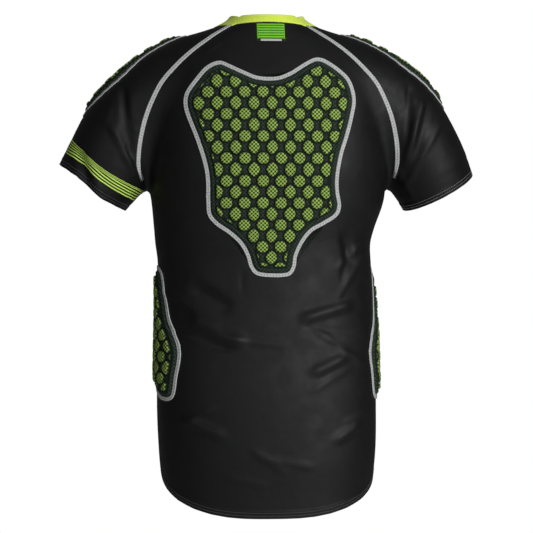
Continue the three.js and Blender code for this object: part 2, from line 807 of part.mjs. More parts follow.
const padCharts = {
  back: (a, b) => facingSpot(a, b, 1),
  side: (side) => (a, b) => {
    const turn = side > 0 ? sidePadTurn.left : sidePadTurn.right;
    const angle = a / sidePadRadius + side * turn;
    return torsoSpot(side > 0 ? angle : Math.PI - angle, b);
  },
  shoulder: (side) => (a, b) => {
    const frame = sleeveFrame(side, shoulderPadStart + a / shoulderPadStretch);
    return sleeveSpot(frame, b / shoulderPadRadius, 0);
  },
};

// A smooth closed outline through the rows, as evenly spaced points.
function outlineOf(rows, step) {
  const points = rows.map(({ a, b }) => vec(a, b, 0));
  const curve = new THREE.CatmullRomCurve3(points, true, "centripetal");
  const count = Math.round(curve.getLength() / step);
  return curve.getSpacedPoints(count).slice(0, -1);
}

// How far a place is outside the outline (below zero inside), and the nearest point of the outline.
function outlineDistance(outline, a, b) {
  let nearest = { distance: Infinity };
  let inside = false;
  outline.forEach((p, i) => {
    const q = outline[(i + 1) % outline.length];
    const along = clamp01(
      ((a - p.x) * (q.x - p.x) + (b - p.y) * (q.y - p.y)) / p.distanceToSquared(q),
    );
    const near = { a: mix(p.x, q.x, along), b: mix(p.y, q.y, along) };
    const distance = Math.hypot(a - near.a, b - near.b);
    if (distance < nearest.distance) nearest = { ...near, distance };
    const crosses = p.y > b !== q.y > b;
    if (crosses && a < p.x + ((b - p.y) * (q.x - p.x)) / (q.y - p.y)) inside = !inside;
  });
  return { ...nearest, distance: inside ? -nearest.distance : nearest.distance };
}

// Points of the outline, moved out by a distance along its own sideways direction.
function movedOutline(outline, distance) {
  const anticlockwise = THREE.ShapeUtils.area(outline) > 0 ? 1 : -1;
  return outline.map((p, i) => {
    const before = outline[(i + outline.length - 1) % outline.length];
    const after = outline[(i + 1) % outline.length];
    const ahead = after.clone().sub(before).normalize();
    return vec(
      p.x + ahead.y * distance * anticlockwise,
      p.y - ahead.x * distance * anticlockwise,
      0,
    );
  });
}

// A foam cell's foot, drawn in where it would pass the border.
function cellRing(shape, a, b, outline) {
  const ring = [];
  for (let i = 0; i < shape.sides; i += 1) {
    const turn = ((i + shape.turn) / shape.sides) * 2 * Math.PI + Math.PI / 2;
    const p = { a: a + shape.across * Math.cos(turn), b: b + shape.along * Math.sin(turn) };
    const near = outlineDistance(outline, p.a, p.b);
    const over = near.distance + padBorder;
    if (over > 0) {
      const outwards = near.distance < 0 ? 1 : -1;
      const length = Math.max(Math.abs(near.distance), 1e-6);
      p.a -= ((near.a - p.a) / length) * over * outwards;
      p.b -= ((near.b - p.b) / length) * over * outwards;
    }
    ring.push(new THREE.Vector2(p.a, p.b));
  }
  return ring;
}

// A flat slab over the whole pad, with a raised cell in each diamond of the lattice. It is bowed a
// little, so that no two of its triangles are level with each other and the cut keeps them all.
function cellSlab(outline, phase, kinds) {
  const box = new THREE.Box3().setFromPoints(outline);
  const positions = [];
  const bowed = (a, b, h) => [a, b, h + padBow * (a * a + b * b)];
  const corner = (a, b, h) => positions.push(...bowed(a, b, h));
  const triangle = (p, q, r) => [p, q, r].forEach((v) => corner(v.a, v.b, v.h));
  const edges = new Map();
  const edgeKey = (p, q) => [p.a, p.b, q.a, q.b].map((value) => value.toFixed(3)).join();
  const firstRow = Math.floor((box.min.y - phase.b) / cellPitchB) - 1;
  const lastRow = Math.ceil((box.max.y - phase.b) / cellPitchB) + 1;
  const mostColumns = Math.ceil((box.max.x - box.min.x) / cellPitchA) + 4;
  const firstColumn = Math.floor((box.min.x - phase.a) / cellPitchA) - 1;
  for (let row = firstRow; row <= lastRow; row += 1) {
    const odd = Math.abs(row % 2);
    for (let column = firstColumn; column < firstColumn + mostColumns; column += 1) {
      const a = phase.a + (column + odd / 2) * cellPitchA;
      const b = phase.b + row * cellPitchB;
      const reach = outlineDistance(outline, a, b).distance;
      if (reach > cellPitchA) continue;
      const diamond = [
        { a: a + cellPitchA / 2, b },
        { a, b: b + cellPitchB },
        { a: a - cellPitchA / 2, b },
        { a, b: b - cellPitchB },
      ];
      const centre = { a, b, h: 0 };
      diamond.forEach((p, i) => {
        const q = diamond[(i + 1) % 4];
        triangle({ ...q, h: 0 }, { ...p, h: 0 }, centre);
        if (!edges.delete(edgeKey(q, p))) edges.set(edgeKey(p, q), [p, q]);
      });
      const ring = cellRing(odd ? kinds.odd : kinds.even, a, b, outline);
      const area = THREE.ShapeUtils.area(ring);
      if (reach > -padBorder || area < leastCellArea) {
        const [p, q, r, s] = diamond.map((v) => ({ ...v, h: padFloor }));
        triangle(p, q, r);
        triangle(p, r, s);
        continue;
      }
      const contour = diamond.map((v) => new THREE.Vector2(v.a, v.b));
      const all = [...contour, ...ring];
      for (const face of THREE.ShapeUtils.triangulateShape(contour, [ring.toReversed()])) {
        const flat = face.map((i) => (i < 4 ? all[i] : ring[ring.length - 1 - (i - 4)]));
        triangle(...flat.map((v) => ({ a: v.x, b: v.y, h: padFloor })));
      }
      const middle = ring.reduce((sum, v) => sum.add(v), new THREE.Vector2()).divideScalar(ring.length);
      const foot = ring.map((v) => ({ a: v.x, b: v.y, h: padFloor }));
      const top = ring.map((v) => {
        const drawn = v.clone().lerp(middle, 1 - cellTopShare);
        return { a: drawn.x, b: drawn.y, h: padFloor + cellHeight };
      });
      foot.forEach((p, i) => {
        const next = (i + 1) % foot.length;
        triangle(p, foot[next], top[next]);
        triangle(p, top[next], top[i]);
        if (i > 1) triangle(top[0], top[i - 1], top[i]);
      });
    }
  }
  for (const [p, q] of edges.values()) {
    const [low, lowNext] = [p, q].map((v) => ({ ...v, h: 0 }));
    const [high, highNext] = [p, q].map((v) => ({ ...v, h: padFloor }));
    triangle(low, lowNext, highNext);
    triangle(low, highNext, high);
  }
  return positions;
}

function solidOf(geometry) {
  const bare = geometry.index ? geometry.toNonIndexed() : geometry;
  bare.deleteAttribute("normal");
  bare.deleteAttribute("uv");
  const merged = mergeVertices(bare, 1e-3);
  return new wasm.Manifold(
    new wasm.Mesh({
      numProp: 3,
      vertProperties: new Float32Array(merged.getAttribute("position").array),
      triVerts: new Uint32Array(merged.getIndex().array),
    }),
  );
}

// A pad: the slab of cells cut to its outline while flat, then laid on the form by its chart.
function padGeometry(rows, chart, lift, phase, kinds) {
  const outline = outlineOf(rows, tapeStep);
  const cut = movedOutline(outline, -tapeHalfWidth - seamGap);
  const slab = new THREE.BufferGeometry();
  const positions = cellSlab(cut, phase, kinds);
  slab.setAttribute("position", new THREE.Float32BufferAttribute(positions, 3));
  const farBelow = -20;
  const cutter = new THREE.ExtrudeGeometry(
    new THREE.Shape(cut.map((p) => new THREE.Vector2(p.x, p.y))),
    { depth: 80, bevelEnabled: false },
  ).translate(0, 0, farBelow);
  const pad = solidOf(slab).intersect(solidOf(cutter)).getMesh();
  const geometry = new THREE.BufferGeometry();
  const laid = [];
  for (let i = 0; i < pad.numVert; i += 1) {
    const [a, b, h] = pad.vertProperties.subarray(i * pad.numProp, i * pad.numProp + 3);
    const height = h - padBow * (a * a + b * b);
    laid.push(...lifted(chart(a, b), lift + height).toArray());
  }
  geometry.setAttribute("position", new THREE.Float32BufferAttribute(laid, 3));
  geometry.setIndex([...pad.triVerts]);
  return outwardFacing(geometry);
}

// The tape sewn round a pad, along the outline itself.
function padTapeGeometry(rows, chart) {
  const outline = outlineOf(rows, tapeStep);
  const edges = [-tapeHalfWidth, tapeHalfWidth].map((distance) =>
    movedOutline(outline, distance).map((p) => chart(p.x, p.y)),
  );
  return wallOfSpots(edges, padTapeLift + tapeWall, padTapeLift, true);
}

// Neck label

function labelGeometry() {
  const rows = [];
  const down = 3;
  const across = 5;
  for (let r = 0; r <= down; r += 1) {
    const row = [];
    for (let c = 0; c <= across; c += 1) {
      const x = labelMiddleX + mix(-labelHalfWidth, labelHalfWidth, c / across);
      row.push(facingSpot(x, labelTopZ - (labelHeight * r) / down, 1));
    }
    rows.push(row);
  }
  return wallOfSpots(rows, labelLift + labelWall, labelLift);
}

// Materials

const looks = {
  cloth: { color: 0x141516, roughness: 0.55, metalness: 0 },
  mesh: { color: 0x74903a, roughness: 0.8, metalness: 0 },
  tape: { color: 0xb4b6b4, roughness: 0.7, metalness: 0 },
  lime: { color: 0xc4e83c, roughness: 0.75, metalness: 0 },
  label: { color: 0x76cf2c, roughness: 0.8, metalness: 0 },
};

const shirt = new THREE.Group();

function add(name, geometry, look) {
  const mesh = new THREE.Mesh(geometry, new THREE.MeshStandardMaterial(looks[look]));
  mesh.name = name;
  shirt.add(mesh);
}

add("back", panel(backSpots), "cloth");
add("front", panel(frontSpots), "cloth");
add("sleeve_left", panel(sleeveSpots.left), "cloth");
add("sleeve_right", panel(sleeveSpots.right), "cloth");
add("collar", collarGeometry(), "lime");
add("neck_label", labelGeometry(), "label");

const backKinds = { even: pointedCell, odd: roundCell };
const bentKinds = { even: pointedCell, odd: plainRoundCell };
const backPad = padGeometry(backPadRows, padCharts.back, backPadLift, backPadPhase, backKinds);
add("back_pad", backPad, "mesh");
add("back_pad_tape", padTapeGeometry(backPadRows, padCharts.back), "tape");

for (const [name, side] of [["left", 1], ["right", -1]]) {
  const sideChart = padCharts.side(side);
  const sideGeometry = padGeometry(sidePadRows, sideChart, bentPadLift, bentPadPhase, bentKinds);
  add(`side_pad_${name}`, sideGeometry, "mesh");
  add(`side_pad_tape_${name}`, padTapeGeometry(sidePadRows, sideChart), "tape");
  const shoulderChart = padCharts.shoulder(side);
  const { from, to } = shoulderPadEnds[name];
  const shoulderRows = shoulderPadRows.map(({ share, b }) => ({ a: mix(from, to, share), b }));
  const shoulderGeometry = padGeometry(
    shoulderRows,
    shoulderChart,
    bentPadLift,
    bentPadPhase,
    bentKinds,
  );
  add(`shoulder_pad_${name}`, shoulderGeometry, "mesh");
  add(`shoulder_pad_tape_${name}`, padTapeGeometry(shoulderRows, shoulderChart), "tape");
  add(`raglan_tape_back_${name}`, raglanTape(side, "back"), "tape");
  add(`raglan_tape_front_${name}`, raglanTape(side, "front"), "tape");
}

export default shirt;
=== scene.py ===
"""The looks of a short-sleeved padded compression shirt, filled out as if worn, with nobody in it.

The cloth is one smooth form, given by level sections of the torso and by a chain of round links down
each arm. Panels are walls inside it. Tapes and pads lie on it. Everything here is worked out in
millimetres and is made in metres: +Z is up, +Y is the back of the shirt, +X the wearer's left.
"""

import math

import bpy
import numpy as np
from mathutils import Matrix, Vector
from mathutils.geometry import delaunay_2d_cdt


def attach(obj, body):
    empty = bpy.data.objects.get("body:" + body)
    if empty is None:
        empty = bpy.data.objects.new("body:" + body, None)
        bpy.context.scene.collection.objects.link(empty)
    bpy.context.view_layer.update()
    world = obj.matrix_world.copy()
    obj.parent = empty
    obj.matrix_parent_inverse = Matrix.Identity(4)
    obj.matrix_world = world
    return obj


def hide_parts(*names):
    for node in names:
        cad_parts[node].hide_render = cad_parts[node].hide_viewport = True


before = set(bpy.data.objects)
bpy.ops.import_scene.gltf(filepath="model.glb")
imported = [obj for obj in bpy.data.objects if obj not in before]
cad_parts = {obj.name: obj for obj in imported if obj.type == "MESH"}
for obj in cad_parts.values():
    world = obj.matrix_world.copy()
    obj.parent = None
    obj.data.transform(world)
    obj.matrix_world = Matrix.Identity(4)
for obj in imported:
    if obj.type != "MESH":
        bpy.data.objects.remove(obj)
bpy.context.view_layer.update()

METRES = 0.001

# The camera: the photograph's view, from behind and a little to the shirt's left
IMAGE_SIDE = 533
SENSOR_WIDTH = 36.0
FOCAL_PIXELS = 2034
CAMERA_DISTANCE = 3.0
CAMERA_TURN = math.radians(4)
CAMERA_HEIGHT = -0.353

# Driving sizes, the same as the solids have
CLOTH_WALL = 1.2
SEAM_GAP = 0.4
TAPE_HALF_WIDTH = 3.2
PAD_TAPE_HALF_WIDTH = 2.8
COLLAR_RISE = 11.5
COLLAR_SIDE_RISE = 4
COLLAR_GAP = 0.4
COLLAR_LIFT = 0.6
COLLAR_WALL = 2.0
HEM_SIDE_Z = -655
HEM_DROP = {"back": 58, "front": 44}
HEM_SIDE_SOFTNESS = 0.05
HEM_FULLNESS = 1.85
NECK_MIDDLE_Z = {"back": 1, "front": -72}
NECK_SQUARENESS = {"back": 0.6, "front": 0.75}
SAG_LOW = 1.6
# How far the arm and the torso run into each other, over the shoulder and under the arm
SHOULDER_BLEND = 26
ARMPIT_BLEND = 19.5
BLEND_LOW_Z, BLEND_HIGH_Z = -195, -125
MID_PLANE_Y = -11.5

TORSO_COLUMNS = "z half back front square shift"
TORSO_ROWS = [
    (-790, 145, 97, 97, 2.3, -1),
    (-690, 152.5, 103, 101, 2.35, -1),
    (-625, 159, 107, 103, 2.35, -1),
    (-550, 161, 106, 102, 2.35, 0),
    (-470, 160, 98.5, 101, 2.35, 0),
    (-400, 158, 92.5, 100, 2.3, 1),
    (-345, 157, 93, 103, 2.3, 3),
    (-318, 158.5, 96, 106.5, 2.3, 5),
    (-300, 161.5, 98.5, 110, 2.35, 3.5),
    (-250, 172, 107, 116, 2.4, -2),
    (-210, 174, 113, 116, 2.4, -2),
    (-165, 172, 112, 107, 2.4, -1),
    (-120, 168, 106, 88, 2.4, 0),
    (-78, 163, 95, 68, 2.3, 0),
    (-45, 150, 82, 62, 2.2, 0),
    (-20, 118, 70, 60, 2.1, 0),
    (-8, 87, 63, 59, 2.1, 0),
    (0, 69, 58, 58, 2.1, 0),
    (14, 55, 51, 56, 2, 0),
    (45, 52, 47, 53, 2, 0),
]

LIMB_COLUMNS = "x y z r"
LIMB_ROWS = {
    1: [
        (64, 5, -48, 38),
        (120, 5, -67, 44),
        (160, 4, -95, 52),
        (188, 0, -124, 57),
        (213, -6, -159, 61.5),
        (232.5, -13, -200, 63.5),
        (256, -22, -237, 58.5),
        (278, -30, -272, 54),
    ],
    -1: [
        (64, 5, -48, 38),
        (120, 5, -65.5, 44),
        (161, 4, -92.5, 52.5),
        (190, 0, -120, 58.5),
        (214, -6, -158.5, 62.5),
        (237, -13, -200, 62),
        (257.5, -22, -242, 57.5),
        (277, -30, -278, 54),
    ],
}
LIMB_LINKS = 24
CUFF_ROW = 6
CUFF_RISE = {1: (0.05, 0.13), -1: (0.01, 0.04)}
CUFF_RISE_TURN = 0.9
# How much further the left cuff hangs, by degrees round the arm: 0 is outwards and 90 the back
CUFF_DROP_COLUMNS = "turn drop"
CUFF_DROP_ROWS = [
    (-160, 0),
    (-90, 0),
    (-20, 3),
    (20, 3.5),
    (50, 0),
    (72, -1),
    (97, 2.5),
    (118, 2.5),
    (142, 0),
    (200, 0),
]
ARMPIT_NEAR_X, ARMPIT_FAR_X = 172, 200
ARMPIT_NEAR_Y, ARMPIT_FAR_Y = -30, 0
ARMPIT_TOP_Z = -200

RAGLAN_COLUMNS = "x z"
RAGLAN_ROWS = {
    "back": [
        (56, -3),
        (101, -33),
        (128, -57),
        (151, -81),
        (167, -109),
        (178, -136),
        (185, -164),
        (188.5, -189),
        (189, -209),
    ],
    "front": [
        (63, -24),
        (98, -52),
        (124, -80),
        (144, -110),
        (159, -140),
        (169, -170),
        (177, -196),
        (180.5, -214),
    ],
}
RAGLAN_STEPS = 12
RAGLAN_CROWDING = 1.45

# Folds, each along a line seen from behind (face 1) or in front (face -1): a ridge where the height
# is positive, a trough where it is negative. The first are the solids' own, the others are finer.
# Each row gives face, x0, z0, x1, z1, height and reach.
FOLD_ROWS = [
    (1, 112, -428, 40, -462, 4.5, 16),
    (1, 110, -382, 60, -415, -4, 18),
    (1, -46, -428, -116, -408, 4.5, 13),
    (1, -108, -306, -116, -348, -4.5, 12),
    (1, -60, -505, -108, -484, 4, 13),
    (1, 122, -574, 70, -594, 4, 13),
    (1, -94, -602, -130, -580, 3.5, 12),
    (1, 212, -92, 200, -190, -3.5, 10),
    (1, -222, -108, -204, -200, 3.5, 11),
    (1, -206, -88, -202, -165, -3, 9),
    (1, 276, -184, 262, -234, -5, 12),
    (1, 254, -220, 240, -262, 4, 13),
    (-1, 120, -300, 40, -345, -4, 18),
    (-1, -112, -305, -45, -352, 4, 16),
    (-1, -112, -440, -40, -468, 4, 16),
    (-1, 112, -441, 48, -418, 4, 15),
    (-1, 212, -144, 206, -190, -3.5, 10),
    (-1, -214, -148, -208, -190, -3.5, 10),
]
FINE_FOLD_ROWS = [
    (1, 133, -440, 60, -472, -2.2, 8),
    (1, 138, -452, 47, -458, 2.0, 8),
    (1, 128, -465, 57, -472, -1.6, 6),
    (1, 152, -388, 75, -437, 1.8, 9),
    (1, 48, -458, -20, -466, 1.4, 9),
    (1, -61, -441, -143, -499, 1.9, 8),
    (1, -84, -465, -143, -476, -1.5, 7),
    (1, -141, -315, -98, -355, 2.0, 8),
    (1, -142, -332, -95, -401, 1.7, 8),
    (1, -116, -320, -104, -373, -1.6, 7),
    (1, -112, -500, -60, -530, 1.6, 8),
    (1, 124, -577, 80, -556, 1.6, 8),
    (1, -143, -564, -108, -577, 1.7, 8),
    (1, 20, -625, -60, -640, 1.0, 9),
    (1, 27, -615, -21, -647, 0.9, 9),
    (1, 60, -655, 10, -664, 0.9, 8),
    (1, 41, -363, 41, -388, -1.2, 7),
    (1, -52, -440, -118, -448, -1.3, 7),
    (1, 187, -228, 208, -188, 1.8, 8),
    (1, 188, -230, 229, -151, 2.2, 8),
    (1, 188, -230, 203, -183, -1.6, 6),
    (1, 211, -96, 211, -184, -1.8, 8),
    (1, 228, -150, 206, -182, 1.6, 8),
    (1, -210, -105, -209, -174, 2.2, 8),
    (1, -228, -101, -199, -196, 2.0, 8),
    (1, -253, -141, -217, -204, 2.2, 8),
    (1, -217, -204, -205, -232, 1.8, 7),
    (1, -190, -214, -216, -256, 2.4, 8),
    (1, -236, -104, -214, -190, -1.8, 7),
    (1, -196, -120, -188, -180, -1.6, 6),
    (1, 226, -96, 236, -150, 1.2, 8),
    (1, 70, -30, 96, -46, 1.0, 6),
    (1, -48, -8, -84, -22, -1.2, 6),
    (-1, 92, -250, 30, -262, 1.4, 10),
    (-1, -100, -262, -40, -280, 1.4, 9),
    (-1, 118, -520, 60, -540, 1.8, 9),
    (-1, -118, -560, -70, -584, 1.6, 9),
    (-1, 60, -620, 10, -630, 1.0, 9),
    (-1, -60, -380, -10, -392, 1.0, 9),
    (-1, 236, -130, 214, -176, 1.8, 8),
    (-1, -236, -132, -214, -178, 1.8, 8),
]
FOLD_END = 22

# Pad outlines: places across and up the pad's chart
BACK_PAD_ROWS = [
    (4, -85.5),
    (22, -83.5),
    (40, -76),
    (59, -67),
    (73, -61.5),
    (89, -67.5),
    (106, -86),
    (120, -107.5),
    (121, -125),
    (104.5, -172.5),
    (95, -203),
    (90.5, -227),
    (89.5, -262),
    (87.5, -279),
    (78, -291),
    (59.5, -304),
    (42.5, -320),
    (33, -337),
    (28, -353),
    (21, -362),
    (-1, -365.5),
    (-26, -363),
    (-32, -354),
    (-35, -337),
    (-43.5, -318),
    (-56.5, -301.5),
    (-76, -290),
    (-93.5, -278),
    (-97.5, -267),
    (-94, -245),
    (-93.5, -225),
    (-99, -193.5),
    (-108, -165),
    (-116, -135),
    (-119.5, -112.5),
    (-112, -85.5),
    (-97, -70.5),
    (-75, -57),
    (-65, -56),
    (-50.5, -63),
    (-29.5, -76.5),
    (-12, -84),
]
SIDE_PAD_ROWS = [
    (5, -354),
    (22, -362),
    (31, -386),
    (45, -430),
    (61, -455),
    (69, -478),
    (66, -510),
    (60, -541),
    (40, -544),
    (0, -529),
    (-36, -521),
    (-52, -507),
    (-58, -476),
    (-54, -438),
    (-42, -398),
    (-24, -362),
]
# The shoulder pads' rows give shares of their length, which differs from side to side, and the place
# round the sleeve
SHOULDER_PAD_ROWS = [
    (0, 2),
    (0.125, 14),
    (0.34, 20),
    (0.545, 29),
    (0.74, 24),
    (0.9, 14),
    (0.99, 0),
    (1, -26),
    (0.955, -62),
    (0.795, -84),
    (0.545, -92),
    (0.285, -84),
    (0.09, -62),
    (0, -30),
]
SHOULDER_PAD_ENDS = {1: (0, 191), -1: (-9, 177)}
SIDE_PAD_RADIUS = 150
SIDE_PAD_TURN = {1: 0.01, -1: 0.15}
SHOULDER_PAD_START = 44
SHOULDER_PAD_STRETCH = 1.27
SHOULDER_PAD_RADIUS = 62

# The foam cells: round ones and pointed ones in turn
CELL_PITCH_A = 25.5
CELL_PITCH_B = 15.6
ROUND_CELL = (9.6, 9.4, 2.25)
POINTED_CELL = (9.4, 11.4, 1.6)
CELL_HEIGHT = 3.7
CELL_SLOPE = 2.6
CELL_CROWN = 0.2
PAD_FLOOR = 4.1
PAD_EDGE_HEIGHT = 1.1
PAD_EDGE_WIDTH = 4.0
PAD_BORDER = 7.9
PAD_BASE_LIFT = 0.25
# The groove inside the border, and the width of the groove and of the painted shadow, a dark line round
# the foot of each cell and along the groove
BORDER_GROOVE_INSET = 0.9
BORDER_GROOVE_DEPTH = 0.8
GROOVE_AND_SHADOW_WIDTH = 1.1
BACK_PAD_PHASE = (0, -121.4)
BENT_PAD_PHASE = (0, 0)
PAD_GRID = 1.25
PAD_BASE_GRID = 9.0

# The woven patch under the neckband
LABEL_MIDDLE_X = -1.6
LABEL_HALF_WIDTH = 22
LABEL_TOP_Z = -0.4
LABEL_HEIGHT = 29
LABEL_STRIPES = 6

# The striped band on the left sleeve, as distances above the cuff
BAND_LOW = 20.5
BAND_HIGH = 43
BAND_STRIPE_PITCH = 4.09
NO_BAND = -50

# Rows of stitches above the hem and the cuffs, and the folded edge that they hold
STITCH_ROW_HEIGHTS = (4.2, 8.4)
FOLDED_EDGE = 11.5
FOLDED_RISE = 0.5

# Stitches: length, width and height of one, and the pitch of a row
EDGE_STITCH, EDGE_STITCH_PITCH = (2.3, 0.5, 0.25), 3.0
ZIGZAG_STITCH, ZIGZAG_PITCH, ZIGZAG_SLANT = (2.4, 0.8, 0.3), 4.4, 0.9
TAPE_EDGE_STITCH, TAPE_EDGE_PITCH, TAPE_EDGE_OFFSET = (1.9, 0.5, 0.2), 2.6, 2.3

# Mesh steps
CLOTH_STEP = 3.7
EDGE_STEP = 1.5
TAPE_STEP = 2.0
RAY_STRIDE = 10
RAY_FARTHEST = 420
EVEN_SHARE = 0.4
BESIDE_SHARE = 0.25
TORSO_STEPS_BELOW = {"back": 18, "front": 12}
TORSO_STEPS_ACROSS = {"back": 19, "front": 15}
CUFF_STEPS, SLEEVE_STEPS_ROUND = 3, 19


def columns(names, rows):
    """A table's columns by name."""
    values = np.array(rows, float).T
    return dict(zip(names.split(), values))


def mix(a, b, share):
    return a + (b - a) * share


def smooth_step(x):
    x = np.clip(x, 0, 1)
    return x * x * (3 - 2 * x)


def length_of(vectors):
    return np.linalg.norm(vectors, axis=-1)


def unit(vectors):
    return vectors / np.maximum(length_of(vectors)[..., None], 1e-9)


def between(t, start, start_slope, stop, stop_slope):
    """A smooth cubic step from start to stop, for t from 0 to 1, with slopes for the whole step."""
    t2, t3 = t**2, t**3
    leaving = (2 * t3 - 3 * t2 + 1) * start + (t3 - 2 * t2 + t) * start_slope
    return leaving + (3 * t2 - 2 * t3) * stop + (t3 - t2) * stop_slope


def table_reader(at, values):
    """Reads a table between its rows: smooth, and never past the two rows beside the place."""
    values = np.stack(values, axis=1)
    spans = np.diff(at)
    secants = np.diff(values, axis=0) / spans[:, None]
    last, following = secants[:-1], secants[1:]
    most = 3 * np.minimum(abs(last), abs(following))
    inner = np.where(last * following <= 0, 0, np.clip((last + following) / 2, -most, most))
    slopes = np.concatenate([secants[:1], inner, secants[-1:]])

    def read(where):
        where = np.clip(where, at[0], at[-1])
        i = np.clip(np.searchsorted(at, where, side="left") - 1, 0, len(at) - 2)
        span = spans[i][:, None]
        t = (where - at[i])[:, None] / span
        return between(t, values[i], span * slopes[i], values[i + 1], span * slopes[i + 1])

    return read


def distances_along(*axes):
    steps = np.sqrt(sum(np.diff(axis) ** 2 for axis in axes))
    return np.concatenate([[0], np.cumsum(steps)])


# The form

torso_table = columns(TORSO_COLUMNS, TORSO_ROWS)
read_torso = table_reader(
    torso_table["z"], [torso_table[name] for name in ("half", "back", "front", "square", "shift")]
)


def torso_field(p):
    half, back, front, square, shift = read_torso(p[:, 2]).T
    depth = (back + front) / 2
    middle = (back - front) / 2
    across = abs((p[:, 0] - shift) / half) ** square
    through = abs((p[:, 1] - middle) / depth) ** square
    return ((across + through) ** (1 / square) - 1) * np.minimum(depth, half)


class Limb:
    """One arm as a chain of short tapered links."""

    def __init__(self, side):
        rows = columns(LIMB_COLUMNS, LIMB_ROWS[side])
        distances = distances_along(rows["x"], rows["y"], rows["z"])
        self.read = table_reader(distances, [rows[name] for name in ("x", "y", "z", "r")])
        self.links = self.read(np.linspace(0, distances[-1], LIMB_LINKS + 1))
        self.cuff = distances[CUFF_ROW]

    def field(self, p):
        least = np.full(len(p), np.inf)
        for a, b in zip(self.links[:-1], self.links[1:]):
            ahead = b[:3] - a[:3]
            along = np.clip((p - a[:3]) @ ahead / (ahead @ ahead), 0, 1)
            away = length_of(p - a[:3] - along[:, None] * ahead)
            least = np.minimum(least, away - mix(a[3], b[3], along))
        return least


limbs = {side: Limb(side) for side in (1, -1)}


def form(p):
    """Below zero inside the body, above zero outside it."""
    torso = torso_field(p)
    folded = p.copy()
    folded[:, 0] = abs(p[:, 0])
    limb = np.empty(len(p))
    left = p[:, 0] > 0
    for side, chosen in ((1, left), (-1, ~left)):
        if chosen.any():
            limb[chosen] = limbs[side].field(folded[chosen])
    up = smooth_step((p[:, 2] - BLEND_LOW_Z) / (BLEND_HIGH_Z - BLEND_LOW_Z))
    blend = mix(ARMPIT_BLEND, SHOULDER_BLEND, up)
    near = np.maximum(blend - abs(torso - limb), 0) / blend
    return np.minimum(torso, limb) - near * near * blend / 4


def slope_of_form(p):
    h = 0.5
    slopes = []
    for axis in range(3):
        step = np.zeros(3)
        step[axis] = h
        slopes.append(form(p + step) - form(p - step))
    return np.stack(slopes, axis=1) / (2 * h)


def surface_along(origin, direction):
    """Where rays from inside first leave the form."""
    high = np.full(len(origin), float(RAY_STRIDE))
    inside = np.arange(len(origin))
    while len(inside):
        p = origin[inside] + direction[inside] * high[inside, None]
        inside = inside[(form(p) < 0) & (high[inside] < RAY_FARTHEST)]
        high[inside] += RAY_STRIDE
    low = high - RAY_STRIDE
    for _ in range(15):
        half = (low + high) / 2
        is_inside = form(origin + direction * half[:, None]) < 0
        low = np.where(is_inside, half, low)
        high = np.where(is_inside, high, half)
    return origin + direction * low[:, None]


def settled(p, rounds=4):
    """Moves points that are near the form onto it."""
    p = p.copy()
    for _ in range(rounds):
        slope = slope_of_form(p)
        p -= slope * (form(p) / (slope**2).sum(axis=1))[:, None]
    return p


def fold_height(p, normal):
    height = np.zeros(len(p))
    for face, x0, z0, x1, z1, fold, reach in FOLD_ROWS + FINE_FOLD_ROWS:
        seen = np.clip(normal[:, 1] * face * 2.5, 0, 1)
        dx, dz = x1 - x0, z1 - z0
        length = math.hypot(dx, dz)
        along = ((p[:, 0] - x0) * dx + (p[:, 2] - z0) * dz) / length
        away = abs((p[:, 0] - x0) * dz - (p[:, 2] - z0) * dx) / length
        ends = np.clip(np.minimum(along, length - along) / FOLD_END + 0.5, 0, 1)
        side = np.where(away < reach, np.cos(away / reach * math.pi) / 2 + 0.5, 0)
        height += fold * seen * side * smooth_step(ends)
    return height


def cloth(on_form):
    """The cloth's outer face over points of the form, and the way out there."""
    normal = unit(slope_of_form(on_form))
    return on_form + normal * fold_height(on_form, normal)[:, None], normal


def facing(x, z, face):
    x, z = np.broadcast_arrays(np.asarray(x, float), np.asarray(z, float))
    origin = np.stack([x, np.full(x.shape, MID_PLANE_Y), z], axis=1)
    return surface_along(origin, np.tile([0.0, face, 0.0], (len(origin), 1)))


def torso_at(angle, z):
    angle, z = np.broadcast_arrays(np.asarray(angle, float), np.asarray(z, float))
    origin = np.stack([np.zeros(z.shape), np.zeros(z.shape), z], axis=1)
    return surface_along(origin, np.stack([np.cos(angle), np.sin(angle), np.zeros(z.shape)], axis=1))


def sleeve_frame(side, distance):
    """Points of a sleeve's middle line, with the ways on to the neck, out over the arm and back."""
    distance = np.atleast_1d(np.asarray(distance, float))
    step = 4
    limb = limbs[side]
    centre = limb.read(distance)[:, :3]
    inward = unit(limb.read(distance - step)[:, :3] - limb.read(distance + step)[:, :3])
    outward = unit(np.stack([inward[:, 2], np.zeros(len(inward)), -inward[:, 0]], axis=1))
    backward = np.cross(inward, outward)
    turned = np.array([side, 1, 1])
    return centre * turned, inward * turned, outward * turned, backward * turned


def sleeve_at(side, distance, turn, slant):
    centre, inward, outward, backward = sleeve_frame(side, distance)
    turn = np.atleast_1d(turn)[:, None]
    direction = outward * np.cos(turn) + backward * np.sin(turn)
    direction = unit(direction + inward * np.atleast_1d(slant)[:, None])
    return surface_along(np.broadcast_to(centre, direction.shape), direction)


# Seams


def find_armpit(side):
    """The middle of the saddle under the arm: the lowest of the highest points."""
    x = np.arange(ARMPIT_NEAR_X, ARMPIT_FAR_X + 1)
    y = np.arange(ARMPIT_NEAR_Y, ARMPIT_FAR_Y + 1)
    places = np.array([(side * a, b, ARMPIT_TOP_Z) for b in y for a in x], float)
    under = surface_along(places, np.tile([0.0, 0.0, -1.0], (len(places), 1)))
    under = under.reshape(len(y), len(x), 3)
    highest = under[np.arange(len(y)), under[:, :, 2].argmax(axis=1)]
    return highest[highest[:, 2].argmin()]


def raglan_share(i):
    return (np.asarray(i) / RAGLAN_STEPS) ** RAGLAN_CROWDING


